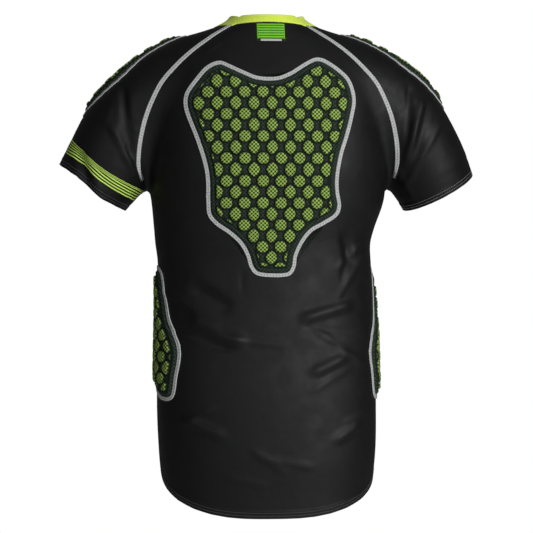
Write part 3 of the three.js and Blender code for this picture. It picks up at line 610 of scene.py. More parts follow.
class Seam:
    """A raglan seam from the armpit to the neck, with the lines half a tape's width to each side."""

    def __init__(self, side, key, armpit):
        face = 1 if key == "back" else -1
        rows = columns(RAGLAN_COLUMNS, RAGLAN_ROWS[key])
        x = np.concatenate([[abs(armpit[0])], rows["x"][::-1]])
        z = np.concatenate([[armpit[2]], rows["z"][::-1]])
        distances = distances_along(x, z)
        read = table_reader(distances, [x, z])
        where = read(distances[-1] * raglan_share(np.arange(1, RAGLAN_STEPS + 1)))
        points = facing(side * where[:, 0], where[:, 1], face)
        self.points = np.concatenate([armpit[None], points])
        normal = unit(slope_of_form(self.points))
        before = self.points[np.maximum(np.arange(RAGLAN_STEPS + 1) - 1, 0)]
        after = self.points[np.minimum(np.arange(RAGLAN_STEPS + 1) + 1, RAGLAN_STEPS)]
        across = np.cross(normal, unit(after - before)) * side * face * -TAPE_HALF_WIDTH
        self.beside = {}
        for name, way in (("torso", 1), ("sleeve", -1)):
            offset = across * way
            offset[0] = np.array([-way * side, face, 0]) * TAPE_HALF_WIDTH
            self.beside[name] = settled(self.points + offset)


armpits = {side: find_armpit(side) for side in (1, -1)}
seams = {(side, key): Seam(side, key, armpits[side]) for side in (1, -1) for key in ("back", "front")}


# Panels


def even_shares(count):
    c = np.arange(count)
    return np.clip((c - 1 + BESIDE_SHARE) / (count - 3 + 2 * BESIDE_SHARE), 0, 1)


def with_seam_ends(points, first, last, row, name):
    points[0] = first.points[row]
    points[1] = first.beside[name][row]
    points[-1] = last.points[row]
    points[-2] = last.beside[name][row]
    return points


def hem_z(angle, drop):
    soft = HEM_SIDE_SOFTNESS
    away = (np.hypot(np.sin(angle), soft) - soft) / (math.hypot(1, soft) - soft)
    return HEM_SIDE_Z - drop * (1 - (1 - away) ** HEM_FULLNESS)


def torso_blocks(key):
    """The panel's rows from the hem to the armpit, and on between the raglan seams to the neck."""
    face = 1 if key == "back" else -1
    steps_below, count = TORSO_STEPS_BELOW[key], TORSO_STEPS_ACROSS[key]
    left, right = seams[1, key], seams[-1, key]
    armpit_z = (armpits[1][2] + armpits[-1][2]) / 2
    u = even_shares(count)
    level = mix(armpits[1][2], armpits[-1][2], u)
    angle = face * math.pi * u
    low = hem_z(angle, HEM_DROP[key])
    below = [torso_at(angle, mix(low, level, i / steps_below)) for i in range(steps_below)]
    above = []
    for i in range(RAGLAN_STEPS + 1):
        a, b = left.points[i], right.points[i]
        t = float(raglan_share(i))
        middle_z = mix(armpit_z, NECK_MIDDLE_Z[key], t)
        across = mix((1 - np.cos(math.pi * u)) / 2, u, mix(EVEN_SHARE, 1, t))
        squareness = mix(SAG_LOW, NECK_SQUARENESS[key], t)
        sag = np.maximum(np.sin(math.pi * across), 0) ** squareness
        z = mix(mix(a[2], b[2], across), middle_z, (t * t if face > 0 else t**3) * sag)
        points = facing(mix(a[0], b[0], across), z, face)
        above.append(with_seam_ends(points, left, right, i, "torso"))
    below.append(above[0])
    return np.array(below), np.array(above)


def sleeve_aim(side, distance, point):
    centre, inward, outward, backward = (v[0] for v in sleeve_frame(side, distance))
    to = point - centre
    out, back = to @ outward, to @ backward
    return math.atan2(back, out), (to @ inward) / math.hypot(out, back)


cuff_drop_table = columns(CUFF_DROP_COLUMNS, CUFF_DROP_ROWS)
read_cuff_drop = table_reader(cuff_drop_table["turn"], [cuff_drop_table["drop"]])


def cuff_drop(side, turn):
    """The left cuff's wave, as a slant of the rays that reach it."""
    if side < 0:
        return 0
    first = CUFF_DROP_ROWS[0][0]
    degrees = (np.degrees(turn) - first) % 360 + first
    return read_cuff_drop(degrees)[:, 0] / LIMB_ROWS[1][CUFF_ROW][3]


def sleeve_blocks(side):
    """The sleeve's rows from the cuff to the armpit, and on between the raglan seams to the neck."""
    limb = limbs[side]
    armpit = armpits[side]
    back, front = seams[side, "back"], seams[side, "front"]
    near, far = limb.cuff * 0.6, limb.cuff
    for _ in range(20):
        half = (near + far) / 2
        centre, inward, _, _ = sleeve_frame(side, half)
        if (armpit - centre[0]) @ inward[0] > 0:
            far = half
        else:
            near = half
    full_turn = 2 * math.pi
    under = sleeve_aim(side, near, armpit)[0] % full_turn
    u = even_shares(SLEEVE_STEPS_ROUND)
    below = []
    for i in range(CUFF_STEPS):
        share = i / CUFF_STEPS
        turn = mix(under, under - full_turn, u)
        rise, most = CUFF_RISE[side]
        slant = rise + most * np.cos(turn - CUFF_RISE_TURN) - cuff_drop(side, turn)
        slant = slant * (1 - share)
        below.append(sleeve_at(side, mix(limb.cuff, near, share), turn, slant))
    above = []
    for i in range(RAGLAN_STEPS + 1):
        distance = mix(near, 0, float(raglan_share(i)))
        start, start_slant = sleeve_aim(side, distance, back.points[i])
        stop, stop_slant = sleeve_aim(side, distance, front.points[i])
        if i == 0:
            start, stop = under, under - full_turn
        if stop > start:
            stop -= full_turn
        slant = np.where(u < 0.5, start_slant, stop_slant) * abs(1 - 2 * u) ** 1.5
        points = sleeve_at(side, distance, mix(start, stop, u), slant)
        above.append(with_seam_ends(points, back, front, i, "sleeve"))
    below.append(above[0])
    return np.array(below), np.array(above)


def finer_rows(block, step, first_step=None):
    """More rows, on smooth curves through the given ones."""
    slopes = np.gradient(block, axis=0)
    result = []
    for i in range(len(block) - 1):
        span = length_of(block[i + 1] - block[i]).mean()
        wanted = first_step if first_step and i == 0 else step
        count = max(1, round(span / wanted))
        for t in np.arange(count) / count:
            result.append(between(t, block[i], slopes[i], block[i + 1], slopes[i + 1]))
    result.append(block[-1])
    return np.array(result)


def finer_columns(grid, step):
    widths = length_of(np.diff(grid, axis=1)).mean(axis=0)
    parts = []
    for c, width in enumerate(widths):
        count = max(1, round(width / step))
        for t in np.arange(count) / count:
            parts.append(mix(grid[:, c], grid[:, c + 1], t))
    parts.append(grid[:, -1])
    return np.stack(parts, axis=1)


def drawn_back(grid):
    """Leaves half the seam gap at both sides and at the neck."""
    result = grid.copy()
    half = SEAM_GAP / 2
    result[:, 0] += unit(grid[:, 1] - grid[:, 0]) * half
    result[:, -1] += unit(grid[:, -2] - grid[:, -1]) * half
    result[-1] += unit(grid[-2] - grid[-1]) * half
    return result


class Panel:
    """A cloth panel's fine grid: points on the form, the outer face, the way out, and the distance
    from the hem or cuff along each column."""

    def __init__(self, blocks, step):
        below, above = blocks
        below = finer_rows(below, step, EDGE_STEP)
        self.rows_below = len(below)
        rows = np.concatenate([below, finer_rows(above, step)[1:]])
        grid = finer_columns(rows, step)
        shape = grid.shape
        self.on_form = settled(grid.reshape(-1, 3)).reshape(shape)
        outer, normal = cloth(self.on_form.reshape(-1, 3))
        self.normal = normal.reshape(shape)
        self.outer = outer.reshape(shape)
        steps = length_of(np.diff(self.outer, axis=0))
        self.height = np.concatenate([np.zeros((1, shape[1])), np.cumsum(steps, axis=0)])

    def walls(self):
        """The outer and inner face, with the folded edge at the hem or cuff."""
        fold = smooth_step((FOLDED_EDGE + 1 - self.height) / 1.6)
        for row in STITCH_ROW_HEIGHTS:
            fold = fold - 0.5 * np.exp(-(((self.height - row) / 0.8) ** 2))
        rise = FOLDED_RISE * fold
        outer = drawn_back(self.outer)
        return outer + self.normal * rise[..., None], outer - self.normal * CLOTH_WALL

    def line_at(self, height):
        """Points across the panel at a distance above its lower edge, with the ways out."""
        points, normals = [], []
        for c in range(self.outer.shape[1]):
            for source, kept in ((self.outer, points), (self.normal, normals)):
                column = [np.interp(height, self.height[:, c], source[:, c, k]) for k in range(3)]
                kept.append(column)
        return np.array(points), unit(np.array(normals))


# Meshes


def add_object(name, points, faces, material, uv=None, values=None, crease=None):
    """An object from millimetre points. Values are named numbers for each point."""
    mesh = bpy.data.meshes.new(name)
    mesh.from_pydata((np.asarray(points) * METRES).tolist(), [], [list(face) for face in faces])
    mesh.update()
    mesh.shade_smooth()
    if crease:
        mesh.set_sharp_from_angle(angle=math.radians(crease))
    corners = np.empty(len(mesh.loops), np.int32)
    mesh.loops.foreach_get("vertex_index", corners)
    if uv is not None:
        layer = mesh.uv_layers.new(name="UVMap")
        layer.data.foreach_set("uv", np.asarray(uv, np.float32)[corners].ravel())
    for key, numbers in (values or {}).items():
        attribute = mesh.attributes.new(key, "FLOAT", "POINT")
        attribute.data.foreach_set("value", np.asarray(numbers, np.float32))
    mesh.materials.append(material)
    piece = bpy.data.objects.new(name, mesh)
    bpy.context.scene.collection.objects.link(piece)
    return piece


def facing_out(points, faces):
    """Turns every face round if the closed mesh is inside out."""
    points = np.asarray(points)
    quads = np.array([face if len(face) == 4 else (*face, face[-1]) for face in faces])
    a, b, c, d = (points[quads[:, k]] for k in range(4))
    volume = (np.cross(b - a, c - a) * a).sum() + (np.cross(c - a, d - a) * a).sum()
    return faces if volume > 0 else [tuple(face)[::-1] for face in faces]


def wall_faces(row_count, column_count):
    """Quads of a closed wall: an outer grid, an inner grid and the strips round the edge."""
    under = row_count * column_count
    number = np.arange(under).reshape(row_count, column_count)
    a, b = number[:-1, :-1], number[:-1, 1:]
    c, d = number[1:, 1:], number[1:, :-1]
    outer = np.stack([a, b, c, d], axis=-1).reshape(-1, 4)
    border = np.concatenate([number[0, :], number[1:, -1], number[-1, -2::-1], number[-2:0:-1, 0]])
    following = np.roll(border, -1)
    rim = np.stack([following, border, border + under, following + under], axis=-1)
    return np.concatenate([outer, outer[:, ::-1] + under, rim])


def loop_faces(path_count, section_count, closed):
    """Quads of a tube of sections along a path, with its ends closed where the path is open."""
    number = np.arange(path_count * section_count).reshape(path_count, section_count)
    following = np.roll(number, -1, axis=1)
    if closed:
        ahead, ahead_following = np.roll(number, -1, axis=0), np.roll(following, -1, axis=0)
        quads = np.stack([number, following, ahead_following, ahead], axis=-1)
    else:
        quads = np.stack([number[:-1], following[:-1], following[1:], number[1:]], axis=-1)
    faces = [tuple(quad) for quad in quads.reshape(-1, 4).tolist()]
    if not closed:
        faces.append(tuple(number[0, ::-1].tolist()))
        faces.append(tuple(number[-1].tolist()))
    return faces


def tube_turned_out(points, faces):
    """Turns a tube's faces round if its quads enclose less than nothing."""
    quads = [face for face in faces if len(face) == 4]
    if facing_out(points, quads) is quads:
        return faces
    return [tuple(face)[::-1] for face in faces]


def path_distance(points, closed):
    steps = length_of(np.diff(points, axis=0))
    if closed:
        steps = np.append(steps, length_of(points[0] - points[-1]))
    return np.concatenate([[0], np.cumsum(steps)])


def add_tube(name, sections, closed, material):
    """Sections is a grid: places along the path, by points round the section."""
    path_count, section_count = sections.shape[:2]
    points = sections.reshape(-1, 3)
    faces = tube_turned_out(points, loop_faces(path_count, section_count, closed))
    along = path_distance(sections.mean(axis=1), closed)[:path_count] * METRES
    around = path_distance(sections.mean(axis=0), False) * METRES
    uv = np.stack(np.meshgrid(along, around, indexing="ij"), axis=-1).reshape(-1, 2)
    return add_object(name, points, faces, material, uv=uv)


# Threads: many small stitches joined in one mesh

STITCH_RING = 6


def stitch_shape(length, width, height):
    """A small rounded bar: three rings and two tips."""
    turns = np.arange(STITCH_RING) / STITCH_RING * 2 * math.pi
    points = [(-length / 2, 0, 0)]
    for along, girth in ((-0.32, 0.78), (0, 1), (0.32, 0.78)):
        for turn in turns:
            points.append(
                (along * length, girth * width / 2 * math.cos(turn), girth * height * math.sin(turn))
            )
    points.append((length / 2, 0, 0))
    faces = []
    for k in range(STITCH_RING):
        after = (k + 1) % STITCH_RING
        faces.append((0, 1 + after, 1 + k))
        for ring in (0, 1):
            low = 1 + ring * STITCH_RING
            faces.append((low + k, low + after, low + STITCH_RING + after, low + STITCH_RING + k))
        last = 1 + 2 * STITCH_RING
        tip = 1 + 3 * STITCH_RING
        faces.append((last + k, last + after, tip))
    return np.array(points), faces


def stitches_along(points, normals, pitch, offset=0.0, slant=0.0, closed=True):
    """Places, ways ahead and ways out of stitches spaced along a line."""
    distance = path_distance(points, closed)
    total = distance[-1]
    count = max(2, round(total / pitch))
    at = (np.arange(count) + 0.5) * total / count
    if closed:
        points = np.concatenate([points, points[:1]])
        normals = np.concatenate([normals, normals[:1]])

    def read(source, where):
        return np.stack([np.interp(where, distance, source[:, k]) for k in range(3)], axis=1)

    place = read(points, at)
    out = unit(read(normals, at))
    ahead = unit(read(points, np.minimum(at + 0.6, total)) - read(points, np.maximum(at - 0.6, 0)))
    across = np.cross(out, ahead)
    sign = np.where(np.arange(count) % 2, 1.0, -1.0)[:, None]
    ahead = unit(ahead + across * sign * slant)
    return place + across * offset, ahead, out


def add_stitches(name, places, size, material):
    """Joins stitches of one size at all the places into one object."""
    shape, faces = stitch_shape(*size)
    place, ahead, out = (np.concatenate([group[k] for group in places]) for k in range(3))
    across = np.cross(out, ahead)
    points = (
        place[:, None]
        + shape[None, :, :1] * ahead[:, None]
        + shape[None, :, 1:2] * across[:, None]
        + shape[None, :, 2:] * out[:, None]
    )
    count = len(shape)
    joined = []
    for i in range(len(place)):
        joined += [tuple(i * count + v for v in face) for face in faces]
    return add_object(name, points.reshape(-1, 3), joined, material)


# Materials, with pitches in metres

NET_PITCH = 0.0038
COLLAR_RIB_PITCH = 0.0011
TAPE_RIB_PITCH = 0.0009
KNIT_PITCH = 0.0009


def new_material(name, base, roughness, specular=0.3, sheen=0.0, sheen_roughness=0.5):
    material = bpy.data.materials.new(name)
    material.use_nodes = True
    shader = material.node_tree.nodes["Principled BSDF"]
    shader.inputs["Base Color"].default_value = (*base, 1)
    shader.inputs["Roughness"].default_value = roughness
    shader.inputs["Specular IOR Level"].default_value = specular
    shader.inputs["Sheen Weight"].default_value = sheen
    shader.inputs["Sheen Roughness"].default_value = sheen_roughness
    return material


class Nodes:
    """Short names for building a material's nodes."""

    def __init__(self, material):
        self.tree = material.node_tree
        self.shader = self.tree.nodes["Principled BSDF"]

    def make(self, kind, inputs=None, **settings):
        node = self.tree.nodes.new("ShaderNode" + kind)
        for key, value in settings.items():
            setattr(node, key, value)
        for key, value in (inputs or {}).items():
            self.put(node.inputs[key], value)
        return node

    def put(self, socket, value):
        if isinstance(value, bpy.types.NodeSocket):
            self.tree.links.new(value, socket)
        else:
            socket.default_value = value

    def set(self, name, value):
        self.put(self.shader.inputs[name], value)

    def math(self, operation, *values):
        node = self.make("Math", operation=operation)
        for socket, value in zip(node.inputs, values):
            self.put(socket, value)
        return node.outputs[0]

    def waves(self, value, pitch):
        return self.math("SINE", self.math("MULTIPLY", value, 2 * math.pi / pitch))

    def noise(self, coordinates, scale, detail=2.0):
        inputs = {"Vector": coordinates, "Scale": scale, "Detail": detail}
        return self.make("TexNoise", inputs).outputs["Fac"]

    def span(self, value, from_low, from_high, to_low, to_high):
        inputs = {
            "Value": value,
            "From Min": from_low,
            "From Max": from_high,
            "To Min": to_low,
            "To Max": to_high,
        }
        return self.make("MapRange", inputs, interpolation_type="SMOOTHSTEP").outputs["Result"]

    def blend(self, share, first, second):
        node = self.make("Mix", data_type="RGBA")
        self.put(node.inputs[0], share)
        self.put(node.inputs[6], first)
        self.put(node.inputs[7], second)
        return node.outputs[2]

    def bump(self, height, strength, distance, normal=None):
        inputs = {"Height": height, "Strength": strength, "Distance": distance}
        if normal is not None:
            inputs["Normal"] = normal
        return self.make("Bump", inputs).outputs["Normal"]

    def attribute(self, name):
        return self.make("Attribute", attribute_name=name).outputs["Fac"]

    def object_place(self):
        return self.make("TexCoord").outputs["Object"]

    def uv_axes(self):
        place = self.make("UVMap", uv_map="UVMap").outputs["UV"]
        axes = self.make("SeparateXYZ", {"Vector": place})
        return axes.outputs["X"], axes.outputs["Y"]


def knit_bump(nodes, place):
    """Fine knit loops, over a slow unevenness of the cloth."""
    loops = nodes.make("TexVoronoi", {"Vector": place, "Scale": 1 / KNIT_PITCH})
    fine = nodes.bump(loops.outputs["Distance"], 0.35, 0.0003)
    slow = nodes.noise(place, 26.0, 3.0)
    return nodes.bump(slow, 0.25, 0.004, fine)


def black_fabric():
    material = new_material("black_stretch_knit", (0.0028, 0.0029, 0.003), 0.54, 0.26, 0.005, 0.45)
    nodes = Nodes(material)
    place = nodes.object_place()
    cloud = nodes.noise(place, 9.0, 4.0)
    shade = nodes.blend(cloud, (0.0018, 0.0019, 0.002, 1), (0.0038, 0.0039, 0.0041, 1))
    nodes.set("Base Color", shade)
    rough = nodes.span(nodes.noise(place, 40.0), 0.3, 0.7, 0.49, 0.59)
    nodes.set("Roughness", rough)
    nodes.set("Normal", knit_bump(nodes, place))
    return material


def banded_fabric():
    """The left sleeve's cloth: black, with printed lime stripes in a band above the cuff."""
    material = black_fabric()
    material.name = "black_knit_with_band"
    nodes = Nodes(material)
    base = nodes.shader.inputs["Base Color"].links[0].from_socket
    above = nodes.attribute("above_edge")
    place = nodes.object_place()
    wobble = nodes.span(nodes.noise(place, 60.0), 0.0, 1.0, -0.2, 0.2)
    height = nodes.math("ADD", nodes.math("SUBTRACT", above, BAND_LOW), wobble)
    wave = nodes.waves(height, BAND_STRIPE_PITCH)
    stripes = nodes.span(wave, 0.0, 0.35, 0.0, 1.0)
    low = nodes.span(above, BAND_LOW - 0.2, BAND_LOW + 0.2, 0.0, 1.0)
    high = nodes.span(above, BAND_HIGH - 0.2, BAND_HIGH + 0.2, 1.0, 0.0)
    band = nodes.math("MULTIPLY", low, high)
    lime = nodes.blend(nodes.noise(place, 300.0), (0.58, 0.88, 0.11, 1), (0.74, 0.98, 0.2, 1))
    printed = nodes.blend(stripes, (0.004, 0.02, 0.005, 1), lime)
    nodes.set("Base Color", nodes.blend(band, base, printed))
    return material


def lime_fabric():
    material = new_material("lime_rib_knit", (0.56, 0.84, 0.045), 0.7, 0.2, 0.2, 0.5)
    nodes = Nodes(material)
    along, around = nodes.uv_axes()
    place = nodes.object_place()
    shade = nodes.blend(nodes.noise(place, 55.0, 4.0), (0.66, 0.93, 0.06, 1), (0.88, 0.99, 0.14, 1))
    nodes.set("Base Color", shade)
    ribbed = nodes.bump(nodes.waves(along, COLLAR_RIB_PITCH), 0.3, 0.0002)
    soft = nodes.bump(nodes.noise(place, 90.0, 3.0), 0.35, 0.0015, ribbed)
    nodes.set("Normal", soft)
    return material


def tape_fabric():
    material = new_material("grey_tape", (0.4, 0.4, 0.4), 0.6, 0.25, 0.1, 0.4)
    nodes = Nodes(material)
    place = nodes.object_place()
    shade = nodes.blend(nodes.noise(place, 220.0, 4.0), (0.4, 0.41, 0.41, 1), (0.62, 0.63, 0.62, 1))
    nodes.set("Base Color", shade)
    along, around = nodes.uv_axes()
    nodes.set("Normal", nodes.bump(nodes.waves(along, TAPE_RIB_PITCH), 0.35, 0.0002))
    return material


def foam_under_mesh():
    """Lime foam seen through the holes of a black net that runs on the slant, with painted shade in the
    valleys between the cells and a painted shadow round their feet and in the border groove.
    """
    material = new_material("foam_under_mesh", (0.2, 0.34, 0.05), 0.75, 0.15, 0.02, 0.5)
    nodes = Nodes(material)
    a, b = nodes.uv_axes()
    place = nodes.object_place()
    slanted_pitch = NET_PITCH * math.sqrt(2)
    first = nodes.waves(nodes.math("ADD", a, b), slanted_pitch)
    second = nodes.waves(nodes.math("SUBTRACT", a, b), slanted_pitch)
    holes = nodes.math("MULTIPLY", nodes.math("ADD", first, second), 0.5)
    net = nodes.span(holes, -0.3, 0.3, 0.0, 1.0)
    rise = nodes.attribute("rise")
    # Painted shade: the foam and the net's threads are drawn darker the lower they lie between the cells,
    # and the threads lighter on the cells' tops
    lit_share_by_rise = nodes.span(rise, 0.3, 0.8, 0.0, 1.0)
    lime = nodes.blend(nodes.noise(place, 120.0, 3.0), (0.27, 0.42, 0.07, 1), (0.4, 0.58, 0.12, 1))
    foam = nodes.blend(lit_share_by_rise, (0.03, 0.05, 0.033, 1), lime)
    thread = nodes.blend(lit_share_by_rise, (0.008, 0.013, 0.01, 1), (0.025, 0.04, 0.014, 1))
    seen = nodes.blend(net, thread, foam)
    # Painted shadow from the shade attribute: near black round the foot of each cell and in the border
    # groove
    shade = nodes.math("MULTIPLY", nodes.attribute("shade"), 0.95)
    seen = nodes.blend(shade, seen, (0.004, 0.006, 0.004, 1))
    nodes.set("Base Color", seen)
    depth = nodes.math("SUBTRACT", 1.0, net)
    nodes.set("Normal", nodes.bump(depth, 0.5, 0.0004))
    return material


def plain_thread(name, base):
    material = new_material(name, base, 0.6, 0.3, 0.1, 0.5)
    nodes = Nodes(material)
    place = nodes.object_place()
    dark = tuple(0.75 * value for value in base)
    light = tuple(min(1, 1.25 * value) for value in base)
    shade = nodes.blend(nodes.noise(place, 500.0), (*dark, 1), (*light, 1))
    nodes.set("Base Color", shade)
    twist = nodes.make("TexWave", {"Vector": place, "Scale": 900.0})
    nodes.set("Normal", nodes.bump(twist.outputs["Fac"], 0.3, 0.0001))
    return material


def patch_fabric(name, first, second, roughness=0.7):
    """Close woven cloth of two near shades."""
    material = new_material(name, first, roughness, 0.25, 0.1, 0.5)
    nodes = Nodes(material)
    place = nodes.object_place()
    weave = nodes.make("TexChecker", {"Vector": place, "Scale": 1600.0})
    cloud = nodes.noise(place, 400.0)
    mixed = nodes.math("MULTIPLY", nodes.math("ADD", weave.outputs["Fac"], cloud), 0.5)
    nodes.set("Base Color", nodes.blend(mixed, (*first, 1), (*second, 1)))
    nodes.set("Normal", nodes.bump(mixed, 0.4, 0.0002))
    return material


# Pads


def closed_curve(rows, step):
    """A smooth closed outline through the rows, as evenly spaced points."""
    points = np.array(rows, float)
    count = len(points)
    share = np.arange(40)[:, None] / 40
    dense = []
    for i in range(count):
        p0, p1, p2, p3 = (points[(i + k - 1) % count] for k in range(4))
        d0, d1, d2 = (math.sqrt(length_of(b - a)) for a, b in ((p0, p1), (p1, p2), (p2, p3)))
        m1 = ((p1 - p0) / d0 - (p2 - p0) / (d0 + d1) + (p2 - p1) / d1) * d1
        m2 = ((p2 - p1) / d1 - (p3 - p1) / (d1 + d2) + (p3 - p2) / d2) * d1
        dense.append(between(share, p1, m1, p2, m2))
    dense = np.concatenate(dense)
    distance = path_distance(dense, True)
    ring = np.concatenate([dense, dense[:1]])
    number = round(distance[-1] / step)
    at = np.arange(number) * distance[-1] / number
    return np.stack([np.interp(at, distance, ring[:, k]) for k in range(2)], axis=1)


def turn_of(outline):
    """1 where the outline runs anticlockwise, -1 where it runs clockwise."""
    after = np.roll(outline, -1, axis=0)
    return 1 if (outline[:, 0] * after[:, 1] - after[:, 0] * outline[:, 1]).sum() > 0 else -1


def moved_out(outline, distance):
    before, after = np.roll(outline, 1, axis=0), np.roll(outline, -1, axis=0)
    ahead = unit(after - before) * turn_of(outline)
    return outline + np.stack([ahead[:, 1], -ahead[:, 0]], axis=1) * distance


def depth_inside(outline, places):
    """How far places are inside the outline, below zero outside it."""
    starts, ends = outline, np.roll(outline, -1, axis=0)
    nearest = np.full(len(places), np.inf)
    inside = np.zeros(len(places), bool)
    for p, q in zip(starts, ends):
        ahead = q - p
        along = np.clip((places - p) @ ahead / (ahead @ ahead), 0, 1)
        away = length_of(places - p - along[:, None] * ahead)
        nearest = np.minimum(nearest, away)
        crosses = (p[1] > places[:, 1]) != (q[1] > places[:, 1])
        if q[1] != p[1]:
            at = p[0] + (places[:, 1] - p[1]) * ahead[0] / ahead[1]
            inside ^= crosses & (places[:, 0] < at)
    return np.where(inside, nearest, -nearest)


def cell_heights(places, depth, phase):
    """The height of the foam over the pad's floor, from 0 to 1, highest in the middle of a cell, and
    how far places are inside a cell, below zero outside it."""
    best = np.zeros(len(places))
    nearest = np.full(len(places), -CELL_PITCH_A)
    row_at = (places[:, 1] - phase[1]) / CELL_PITCH_B
    for row in (np.floor(row_at), np.floor(row_at) + 1):
        odd = np.abs(row % 2)
        column = np.round((places[:, 0] - phase[0]) / CELL_PITCH_A - odd / 2)
        from_a = places[:, 0] - phase[0] - (column + odd / 2) * CELL_PITCH_A
        from_b = places[:, 1] - phase[1] - row * CELL_PITCH_B
        across = np.where(odd > 0, ROUND_CELL[0], POINTED_CELL[0])
        along = np.where(odd > 0, ROUND_CELL[1], POINTED_CELL[1])
        power = np.where(odd > 0, ROUND_CELL[2], POINTED_CELL[2])
        out = (abs(from_a / across) ** power + abs(from_b / along) ** power) ** (1 / power)
        within = np.minimum((1 - out) * across, depth - PAD_BORDER)
        height = smooth_step(within / CELL_SLOPE) * (1 - CELL_CROWN * np.minimum(out, 1) ** 2)
        best = np.maximum(best, height)
        nearest = np.maximum(nearest, within)
    return best, nearest


def lattice_inside(outline, step, margin):
    """A triangular lattice of places at least a margin inside the outline."""
    low, high = outline.min(axis=0), outline.max(axis=0)
    row_step = step * math.sqrt(0.75)
    rows = np.arange(low[1], high[1], row_step)
    places = []
    for k, b in enumerate(rows):
        a = np.arange(low[0] + (k % 2) * step / 2, high[0], step)
        places.append(np.stack([a, np.full(len(a), b)], axis=1))
    places = np.concatenate(places)
    depth = depth_inside(outline[::3], places)
    return places[depth > margin]


def filled_outline(outline, places):
    """Triangles over an outline and the places inside it: the points in order, and the faces."""
    points = [Vector(p) for p in np.concatenate([outline, places]).tolist()]
    count = len(outline)
    edges = [(i, (i + 1) % count) for i in range(count)]
    result = delaunay_2d_cdt(points, edges, [], 1, 1e-5, True)
    origin = [group[0] for group in result[3]]
    return [tuple(origin[v] for v in face) for face in result[2]]


def add_pad(name, rows, chart, phase, material):
    outline = moved_out(closed_curve(rows, PAD_GRID * 1.1), -PAD_TAPE_HALF_WIDTH - SEAM_GAP)
    places = lattice_inside(outline, PAD_GRID, PAD_GRID * 0.6)
    top_faces = filled_outline(outline, places)
    all_places = np.concatenate([outline, places])
    depth = depth_inside(outline, all_places)
    depth[: len(outline)] = 0
    cells, within = cell_heights(all_places, depth, phase)
    rim = PAD_EDGE_HEIGHT + (PAD_FLOOR - PAD_EDGE_HEIGHT) * smooth_step(depth / PAD_EDGE_WIDTH)
    border_line = np.exp(-(((depth - PAD_BORDER + BORDER_GROOVE_INSET) / GROOVE_AND_SHADOW_WIDTH) ** 2))
    groove = BORDER_GROOVE_DEPTH * border_line
    # Painted shadow: darker in a line round the foot of each cell and along the border groove
    shade = np.maximum(np.exp(-(((within + 0.1) / GROOVE_AND_SHADOW_WIDTH) ** 2)), 0.8 * border_line)
    outer, normal = cloth(chart(all_places[:, 0], all_places[:, 1]))
    top = outer + normal * (rim - groove + CELL_HEIGHT * cells)[:, None]
    base_places = lattice_inside(outline, PAD_BASE_GRID, PAD_BASE_GRID * 0.5)
    base_faces = filled_outline(outline, base_places)
    base_all = np.concatenate([outline, base_places])
    base_outer, base_normal = cloth(chart(base_all[:, 0], base_all[:, 1]))
    base = base_outer + base_normal * PAD_BASE_LIFT
    start = len(top)
    faces = list(top_faces)
    faces += [tuple(start + v for v in face)[::-1] for face in base_faces]
    for i in range(len(outline)):
        j = (i + 1) % len(outline)
        wall = (i, start + i, start + j, j)
        faces.append(wall[:: turn_of(outline)])
    points = np.concatenate([top, base])
    tops = faces[: len(top_faces)]
    first = np.array(tops[0])
    way_up = np.cross(top[first[1]] - top[first[0]], top[first[2]] - top[first[0]]) @ normal[first[0]]
    if way_up < 0:
        faces = [face[::-1] for face in faces]
    uv = np.concatenate([all_places, base_all]) * METRES
    nothing = np.zeros(len(base))
    values = {"rise": np.concatenate([cells, nothing]), "shade": np.concatenate([shade, nothing])}
    pad = add_object(name, points, faces, material, uv=uv, values=values, crease=70)
    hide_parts(name)
    return finished(pad)


def finished(piece):
    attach(piece, "root")
    return piece


# Tapes

TAPE_SHARES = (-1.0, -0.93, -0.72, -0.42, -0.16, 0.0, 0.16, 0.42, 0.72, 0.93, 1.0)
TAPE_HEIGHTS = (0.1, 0.72, 1.02, 1.0, 0.86, 0.72, 0.86, 1.0, 1.02, 0.72, 0.1)
RAGLAN_TAPE_LIFT = 0.4
ARMPIT_GAP = 37
TAPER_LENGTH = 28
TAPERED_WIDTH = 0.22
PAD_TAPE_LIFT = 0.8
FLAT_SEAM_HALF_WIDTH = 2.6


def tape_sections(rings, lift):
    """Rings are lines of cloth across the tape, as outer points and ways out."""
    upper = [p + n * (lift + h) for (p, n), h in zip(rings, TAPE_HEIGHTS)]
    lower = [rings[k][0] + rings[k][1] * (lift - 0.25) for k in (-1, len(rings) // 2, 0)]
    return np.stack(upper + lower, axis=1)


def add_pad_tape(name, rows, chart, material):
    outline = closed_curve(rows, TAPE_STEP)
    rings = []
    for share in TAPE_SHARES:
        line = moved_out(outline, share * PAD_TAPE_HALF_WIDTH)
        rings.append(cloth(chart(line[:, 0], line[:, 1])))
    tape = add_tube(name, tape_sections(rings, PAD_TAPE_LIFT), True, material)
    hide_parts(name)
    finished(tape)
    middle, normal = rings[len(rings) // 2]
    return stitch_rows(middle, normal, PAD_TAPE_LIFT, True)


def stitch_rows(middle, normal, lift, closed):
    """Stitches of a tape: slanted ones over its middle and straight ones near both edges."""
    high = middle + normal * (lift + 0.85)
    zigzag = stitches_along(high, normal, ZIGZAG_PITCH, 0.0, ZIGZAG_SLANT, closed)
    edges = []
    for offset in (TAPE_EDGE_OFFSET, -TAPE_EDGE_OFFSET):
        edges.append(stitches_along(high + normal * 0.12, normal, TAPE_EDGE_PITCH, offset, 0.0, closed))
    return zigzag, edges


